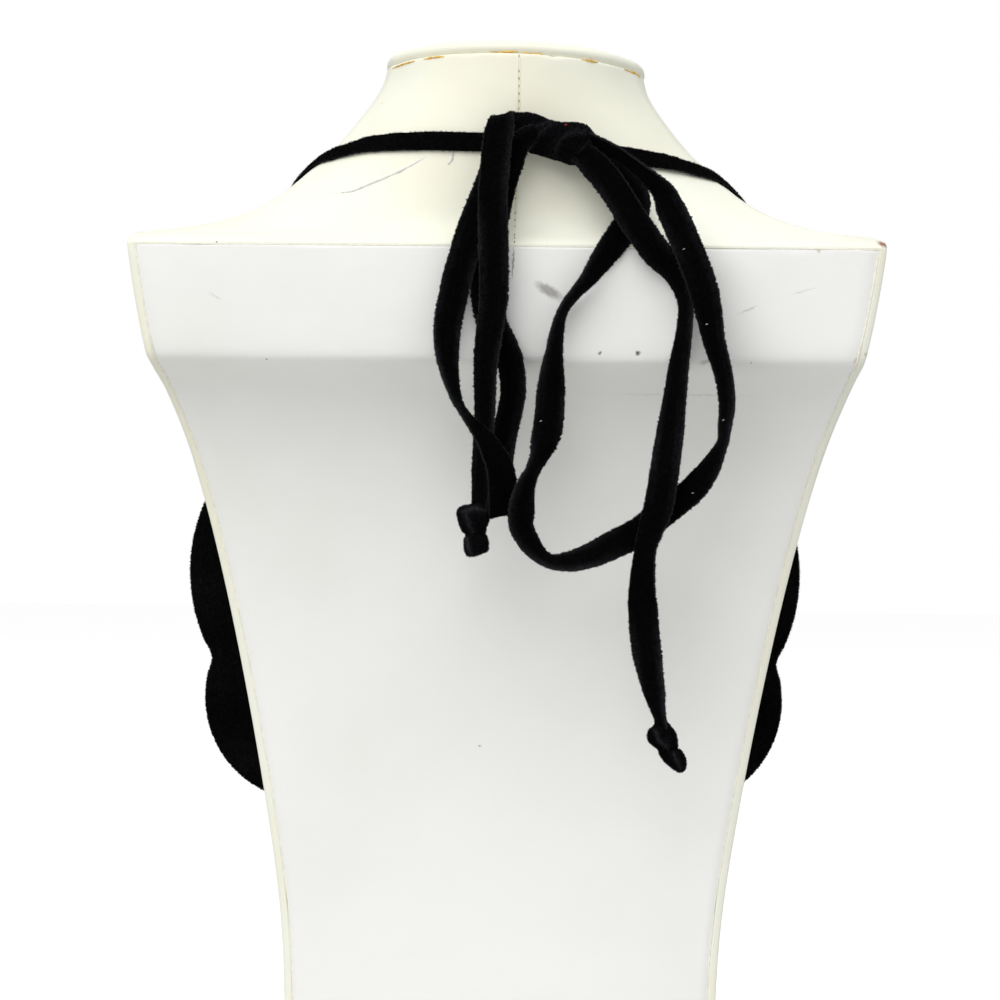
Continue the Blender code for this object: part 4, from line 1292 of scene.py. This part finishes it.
def knot_mesh(name, slices, folds, seed):
    """A tied lump of ribbon through slices seen in the photograph, with its folds pressed in."""
    rows = smooth_path([Vector(s) for s in slices], SLICE_STEPS)
    rings = []
    for ax, ay, bx, by, back, front in rows:
        depth = -(back + front) / 2 * MILLIMETRE
        start = on_plane(ax, ay, depth)
        end = on_plane(bx, by, depth)
        middle = (start + end) / 2
        half = (start - end) / 2
        reach = Vector((0, -(front - back) / 2 * MILLIMETRE, 0))
        ring = []
        for k in range(KNOT_SIDES):
            angle = 2 * math.pi * k / KNOT_SIDES
            up = rounded(math.sin(angle), 0.85)
            out = rounded(math.cos(angle), 0.85)
            ring.append(middle + half * up + reach * out)
        rings.append(ring)
    mesh = mesh_of(name, *skin(rings))
    outwards(mesh)
    normals = [v.normal.copy() for v in mesh.vertices]
    moved = []
    fold_highlights = []
    knot_blooms = []
    for vertex, normal in zip(mesh.vertices, normals):
        facing = max(-normal.y, 0.0) ** 0.5
        pixel = pixel_of(vertex.co)
        # A painted highlight in the selvedge colour lies half a pixel to the right of each fold, with painted
        # sheen round it and where the knot turns sideways
        near = min(abs(fold_distance(fold, pixel) - 0.5) for fold in folds)
        fold_highlights.append(facing * math.exp(-((near / 1.1) ** 2)))
        turned = 1 - facing**2
        knot_blooms.append(min(0.15 + 0.7 * math.exp(-((near / 3.0) ** 2)) + 0.5 * turned**2, 1.0))
        shift = sum(fold_offset(fold, pixel) for fold in folds) * facing
        shift += 0.00025 * noise.noise(vertex.co * LUMP_WAVES + Vector((seed, 0, 0)))
        moved.append(vertex.co + normal * shift)
    for vertex, place in zip(mesh.vertices, moved):
        vertex.co = place
    mesh.update()
    # across near 1 lays the painted fold highlights in the selvedge colour
    set_nap(
        mesh,
        along=[v.co.z for v in mesh.vertices],
        across=[0.90 + 0.06 * s if s > 0.05 else 0.0 for s in fold_highlights],
        bloom=knot_blooms,
        fringe=[0.45] * len(mesh.vertices),
    )
    return mesh


def leather_piece(node, name, slot_name, finish, colour, yellowed, marks, crease):
    """A piece of the bust in its leatherette, whose marks are laid where the photograph shows them on it."""
    settings = bpy.context.scene.bust
    blank = new_material("blank")[0]
    piece = dressed_copy(node, name, blank, settings.levels, crease, settings.swell)
    surface = surface_tree(piece)
    piece.data.materials[0] = leatherette(finish, colour, yellowed, marks, surface, settings.grain)
    bpy.data.materials.remove(blank)
    return join_piece(piece, slot_name, node)


class NECKLACE_OT_cover(bpy.types.Operator):
    """Covers the bust in cream leatherette"""

    bl_idname = "necklace.cover"
    bl_label = "Leatherette cover"

    def execute(self, context):
        leather_piece(
            "bust_body",
            "leather_cover",
            "cream_leatherette",
            finish="cream PVC leatherette",
            colour=context.scene.bust.cover,
            yellowed="EFE9CC",
            marks=COVER_MARKS,
            crease=0.85,
        )
        return {"FINISHED"}


class NECKLACE_OT_panel(bpy.types.Operator):
    """Lets the white sheet into the back of the bust"""

    bl_idname = "necklace.panel"
    bl_label = "Back panel"

    def execute(self, context):
        settings = context.scene.bust
        leather_piece(
            "back_panel",
            "back_sheet",
            "white_leatherette",
            finish="white PVC leatherette",
            colour=settings.panel,
            yellowed="E9E9E2",
            marks=PANEL_MARKS,
            crease=0.95,
        )
        # Glue wiped flush with the joint: as pale as the cover, a little yellowed and matt
        filler = plain_finish("yellowed joint glue", to_linear("F0EEDF"), 0.6, 0.06)
        values = {"Radius": settings.filler, "Material": filler}
        bead = with_nodes("panel_joint", panel_outline("back_panel"), bead_tree(), values, filler)
        join_piece(bead, "cream_leatherette")
        return {"FINISHED"}


class NECKLACE_OT_cap(bpy.types.Operator):
    """Glues the padded cap on the neck, with the glue that has oozed out of the joint"""

    bl_idname = "necklace.cap"
    bl_label = "Neck cap and glue"

    def execute(self, context):
        settings = context.scene.bust
        leather = bpy.data.materials["cream PVC leatherette"]
        cap = dressed_copy(
            "neck_cap", "cap_cover", leather, settings.levels, crease=0.2, swell=settings.cap_swell
        )
        low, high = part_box("neck_cap")
        middle = (low + high) / 2
        for vertex in cap.data.vertices:
            vertex.co.x = middle.x + (vertex.co.x - middle.x) * CAP_DRAW_IN
            vertex.co.y = middle.y + (vertex.co.y - middle.y) * CAP_DRAW_IN
        join_piece(cap, "cream_leatherette", "neck_cap")
        tree = surface_tree(cap, bpy.data.objects["leather_cover"])
        # Brushed-on contact glue that has set glassy and gone amber, darker where it is thick
        glue = plain_finish("aged contact glue", settings.glue, 0.25, 0.35)
        laid_beads("cap_glue", "cream_leatherette", glue, GLUE_LINES, tree, GLUE_BEAD, 0)
        return {"FINISHED"}


class NECKLACE_OT_seam(bpy.types.Operator):
    """Closes the cover down the back of the neck and lays the stray thread beside the ribbon"""

    bl_idname = "necklace.seam"
    bl_label = "Neck seam"

    def execute(self, context):
        settings = context.scene.bust
        cover = bpy.data.objects["leather_cover"]
        tree = surface_tree(cover)
        strip = strip_on_surface("neck_seam", SEAM_LINE, tree, SEAM_LIPS)
        join_piece(add_object("neck_seam", strip, cover.data.materials[0]), "cream_leatherette")
        line = [tree.find_nearest(p) for p in path_on_surface(SEAM_LINE, tree, SEAM_STEPS)]
        points = [spot + normal * 0.00008 for spot, normal, _, _ in line]
        route = bpy.data.meshes.new("seam line")
        route.from_pydata(points, [(i, i + 1) for i in range(len(points) - 1)], [])
        # Cotton thread that has soaked up dirt: dull and brown-grey
        dark = plain_finish("soiled sewing thread", to_linear("5E5A48"), 0.8, 0.4)
        values = {
            "Spacing": settings.stitch,
            "Length": STITCH_LENGTH,
            "Radius": STITCH_RADIUS,
            "Kept": STITCHES_KEPT,
            "Seed": 5,
            "Material": dark,
        }
        stitches = with_nodes("seam_stitches", route, stitch_tree(), values, dark)
        join_piece(stitches, "cream_leatherette")
        # Drawn nylon: smoother and brighter than cotton
        pale = plain_finish("pale nylon thread", to_linear("DADAD8"), 0.4, 0.1)
        laid_beads("stray_thread", "cream_leatherette", pale, THREAD_LINES, tree, THREAD_BEAD, 20)
        return {"FINISHED"}


class NECKLACE_OT_hanging(bpy.types.Operator):
    """Hangs the two loops and the two tails of the bow"""

    bl_idname = "necklace.hanging"
    bl_label = "Loops and tails"

    def execute(self, context):
        settings = context.scene.velvet
        routes = {
            "left_loop": LEFT_LOOP_ROUTE,
            "right_loop": RIGHT_LOOP_ROUTE,
            "left_tail": LEFT_TAIL_ROUTE,
            "right_tail": RIGHT_TAIL_ROUTE,
        }
        for seed, (node, route) in enumerate(routes.items()):
            whole = LEADS.get(node, []) + route + ENDS.get(node, [])
            fine = smooth_path([Vector((s.x, s.y, s.z, s.turn)) for s in whole], ROUTE_STEPS)
            path = [p.to_3d() for p in fine]
            sides = sides_from_turn(path, [p[3] for p in fine])
            mesh = ribbon_mesh(node, path, sides, settings)
            ribbon = add_object(node + "_velvet", mesh, velvet())
            join_piece(ribbon, "black_velvet", node)
            pile = grow_pile(ribbon, node + "_pile", "black_velvet", seed)
        return {"FINISHED"}


class NECKLACE_OT_neck(bpy.types.Operator):
    """Lays the ribbon round the neck, from the bib to the knot"""

    bl_idname = "necklace.neck"
    bl_label = "Neck ribbons"

    def execute(self, context):
        tree = surface_tree(bpy.data.objects["leather_cover"])
        for seed, node in enumerate(("left_neck_ribbon", "right_neck_ribbon")):
            ribbon = dressed_copy(node, node + "_velvet", velvet(), levels=2, crease=0.0)
            mesh = ribbon.data
            for vertex in mesh.vertices:
                ripple = noise.noise(vertex.co * RIPPLE_WAVES + Vector((0, 0, seed * 5)))
                vertex.co += vertex.normal * (0.00012 + 0.00016 * ripple)
            mesh.update()
            # Painted sheen where the ribbon turns away from the face of the bust, where its pile is seen from
            # the side
            facing = [abs(v.normal.dot(tree.find_nearest(v.co)[1])) for v in mesh.vertices]
            set_nap(
                mesh,
                along=[v.co.z + v.co.x for v in mesh.vertices],
                across=[0.0] * len(mesh.vertices),
                fringe=[0.45] * len(mesh.vertices),
                bloom=[0.08 + 0.9 * (1 - f) ** 1.5 for f in facing],
            )
            join_piece(ribbon, "black_velvet", node)
            grow_pile(ribbon, node + "_pile", "black_velvet", 10 + seed)
        return {"FINISHED"}


class NECKLACE_OT_knots(bpy.types.Operator):
    """Ties the bow's knot and the knot at the end of each tail"""

    bl_idname = "necklace.knots"
    bl_label = "Knots"

    def execute(self, context):
        knots = {
            "bow_knot": (BOW_SLICES, BOW_FOLDS),
            "left_end_knot": (LEFT_END_SLICES, LEFT_END_FOLDS),
            "right_end_knot": (RIGHT_END_SLICES, RIGHT_END_FOLDS),
        }
        for seed, (node, (slices, folds)) in enumerate(knots.items()):
            mesh = knot_mesh(node, slices, folds, seed)
            knot = add_object(node + "_velvet", mesh, velvet())
            join_piece(knot, "black_velvet", node)
            pile = grow_pile(knot, node + "_pile", "black_velvet", 20 + seed, KNOT_PILE)
            pile.parent = knot
        return {"FINISHED"}


class NECKLACE_OT_bib(bpy.types.Operator):
    """Hangs the scalloped velvet bib on the chest"""

    bl_idname = "necklace.bib"
    bl_label = "Bib"

    def execute(self, context):
        settings = context.scene.velvet
        bib = dressed_copy("bib", "bib_velvet", velvet(), levels=2, crease=0.85, swell=0.0004)
        mesh = bib.data
        for vertex in mesh.vertices:
            vertex.co.y += 0.0006 * noise.noise(vertex.co * BIB_WAVES)
            x, y = pixel_of(vertex.co)
            notch_x, notch_y = LEFT_NOTCH if vertex.co.x < 0 else RIGHT_NOTCH
            pull = max(0.0, 1 - math.hypot(x - notch_x, y - notch_y) / NOTCH_REACH)
            vertex.co.x -= math.copysign(settings.notch * pull, vertex.co.x)
        mesh.update()
        # Tufts stand along its edge, where it turns away from back and front, and painted sheen lightens it
        # there
        set_nap(
            mesh,
            along=[v.co.z for v in mesh.vertices],
            across=[0.0] * len(mesh.vertices),
            fringe=[0.02 + 0.8 * max(0.0, 1 - abs(v.normal.y) * 1.3) for v in mesh.vertices],
            bloom=[0.12 + 0.6 * (1 - abs(v.normal.y)) for v in mesh.vertices],
        )
        join_piece(bib, "black_velvet", "bib")
        pile = grow_pile(bib, "bib_pile", "black_velvet", 30)
        return {"FINISHED"}


class NECKLACE_OT_lint(bpy.types.Operator):
    """Drops the specks of lint that cling to the velvet"""

    bl_idname = "necklace.lint"
    bl_label = "Lint"

    def execute(self, context):
        worn = [o for o in bpy.data.objects if o.name.endswith("_velvet")]
        tree = surface_tree(*worn)
        specks = [
            [(px - 1.2, py + 0.8), (px, py), (px + 1.1, py - 0.2 + 0.5 * (i % 2))]
            for i, (px, py) in enumerate(LINT_SPECKS)
        ]
        # Loose fibres: dull, and pale against the velvet
        white = plain_finish("cotton lint", to_linear("C9CBC8"), 0.9, 0.2)
        laid_beads("lint", "black_velvet", white, specks, tree, LINT_BEAD, 40)
        red = plain_finish("red fibre", to_linear("8E1B22"), 0.8, 0.2)
        laid_beads("red_fleck", "black_velvet", red, [RED_FLECK], tree, FLECK_BEAD, 50)
        return {"FINISHED"}


class NECKLACE_OT_stage(bpy.types.Operator):
    """Sets the pale floor, the soft light and the camera of the photograph"""

    bl_idname = "necklace.stage"
    bl_label = "Studio"

    def execute(self, context):
        scene = context.scene
        settings = scene.stage
        corners = [(x * FLOOR_HALF, y * FLOOR_HALF, 0) for x, y in ((-1, -1), (1, -1), (1, 1), (-1, 1))]
        floor_mesh = mesh_of("floor", corners, [(0, 1, 2, 3)])
        pale, paper, shader = new_material("matt white paper")
        shader.inputs["Base Color"].default_value = (*settings.floor, 1.0)
        shader.inputs["Roughness"].default_value = 0.9
        shader.inputs["Emission Color"].default_value = (1.0, 1.0, 1.0, 1.0)
        bright = add_node(
            paper,
            "ShaderNodeMath",
            {0: result(add_node(paper, "ShaderNodeLightPath"), "Is Camera Ray"), 1: settings.glow},
            operation="MULTIPLY",
        )
        paper.links.new(result(bright, "Value"), shader.inputs["Emission Strength"])
        add_object("floor", floor_mesh, pale)

        world = bpy.data.worlds.new("white studio")
        world.use_nodes = True
        tree = world.node_tree
        tree.nodes.clear()
        seen = add_node(tree, "ShaderNodeLightPath")
        lit = add_node(
            tree, "ShaderNodeBackground", {"Color": (1.0, 1.0, 1.0, 1.0), "Strength": settings.surround}
        )
        backdrop = add_node(tree, "ShaderNodeBackground", {"Color": (1.0, 1.0, 1.0, 1.0), "Strength": 1.0})
        mix = add_node(tree, "ShaderNodeMixShader", {"Fac": result(seen, "Is Camera Ray")})
        tree.links.new(result(lit, "Background"), mix.inputs[1])
        tree.links.new(result(backdrop, "Background"), mix.inputs[2])
        add_node(tree, "ShaderNodeOutputWorld", {"Surface": result(mix, "Shader")})
        scene.world = world
        scene.view_settings.view_transform = "Standard"

        for name, place, power in (
            ("key", (-0.7, -1.6, 2.1), settings.key),
            ("overhead", (0.3, -0.7, 2.6), settings.fill),
        ):
            light = bpy.data.lights.new(name, "AREA")
            light.size = LIGHT_SIZE
            light.energy = power
            lamp = bpy.data.objects.new(name, light)
            scene.collection.objects.link(lamp)
            lamp.location = place
            lamp.rotation_euler = (LIGHT_AIM - Vector(place)).to_track_quat("-Z", "Y").to_euler()

        camera = bpy.data.cameras.new("camera")
        camera.lens = CAMERA_LENS
        camera.sensor_width = CAMERA_SENSOR
        camera.clip_start = 0.05
        camera.clip_end = 50.0
        eye = bpy.data.objects.new("camera", camera)
        eye.matrix_world = camera_place()
        scene.collection.objects.link(eye)
        scene.camera = eye
        return {"FINISHED"}


class NECKLACE_PT_panel(bpy.types.Panel):
    """The pieces of the necklace and its bust, in the order in which they are made"""

    bl_label = "Necklace"
    bl_space_type = "VIEW_3D"
    bl_region_type = "UI"
    bl_category = "Necklace"

    def draw(self, context):
        for operator in OPERATORS:
            self.layout.operator(operator.bl_idname)


OPERATORS = (
    NECKLACE_OT_stage,
    NECKLACE_OT_cover,
    NECKLACE_OT_panel,
    NECKLACE_OT_cap,
    NECKLACE_OT_seam,
    NECKLACE_OT_neck,
    NECKLACE_OT_knots,
    NECKLACE_OT_hanging,
    NECKLACE_OT_bib,
    NECKLACE_OT_lint,
)
GROUPS = {"velvet": VelvetSettings, "bust": BustSettings, "stage": StageSettings}


def register():
    for name, group in GROUPS.items():
        bpy.utils.register_class(group)
        setattr(bpy.types.Scene, name, PointerProperty(type=group))
    for operator in OPERATORS:
        bpy.utils.register_class(operator)
    bpy.utils.register_class(NECKLACE_PT_panel)


def unregister():
    bpy.utils.unregister_class(NECKLACE_PT_panel)
    for operator in reversed(OPERATORS):
        bpy.utils.unregister_class(operator)
    for name, group in GROUPS.items():
        delattr(bpy.types.Scene, name)
        bpy.utils.unregister_class(group)


def main():
    register()
    for operator in OPERATORS:
        group, name = operator.bl_idname.split(".")
        getattr(getattr(bpy.ops, group), name)()


if __name__ == "__main__":
    main()
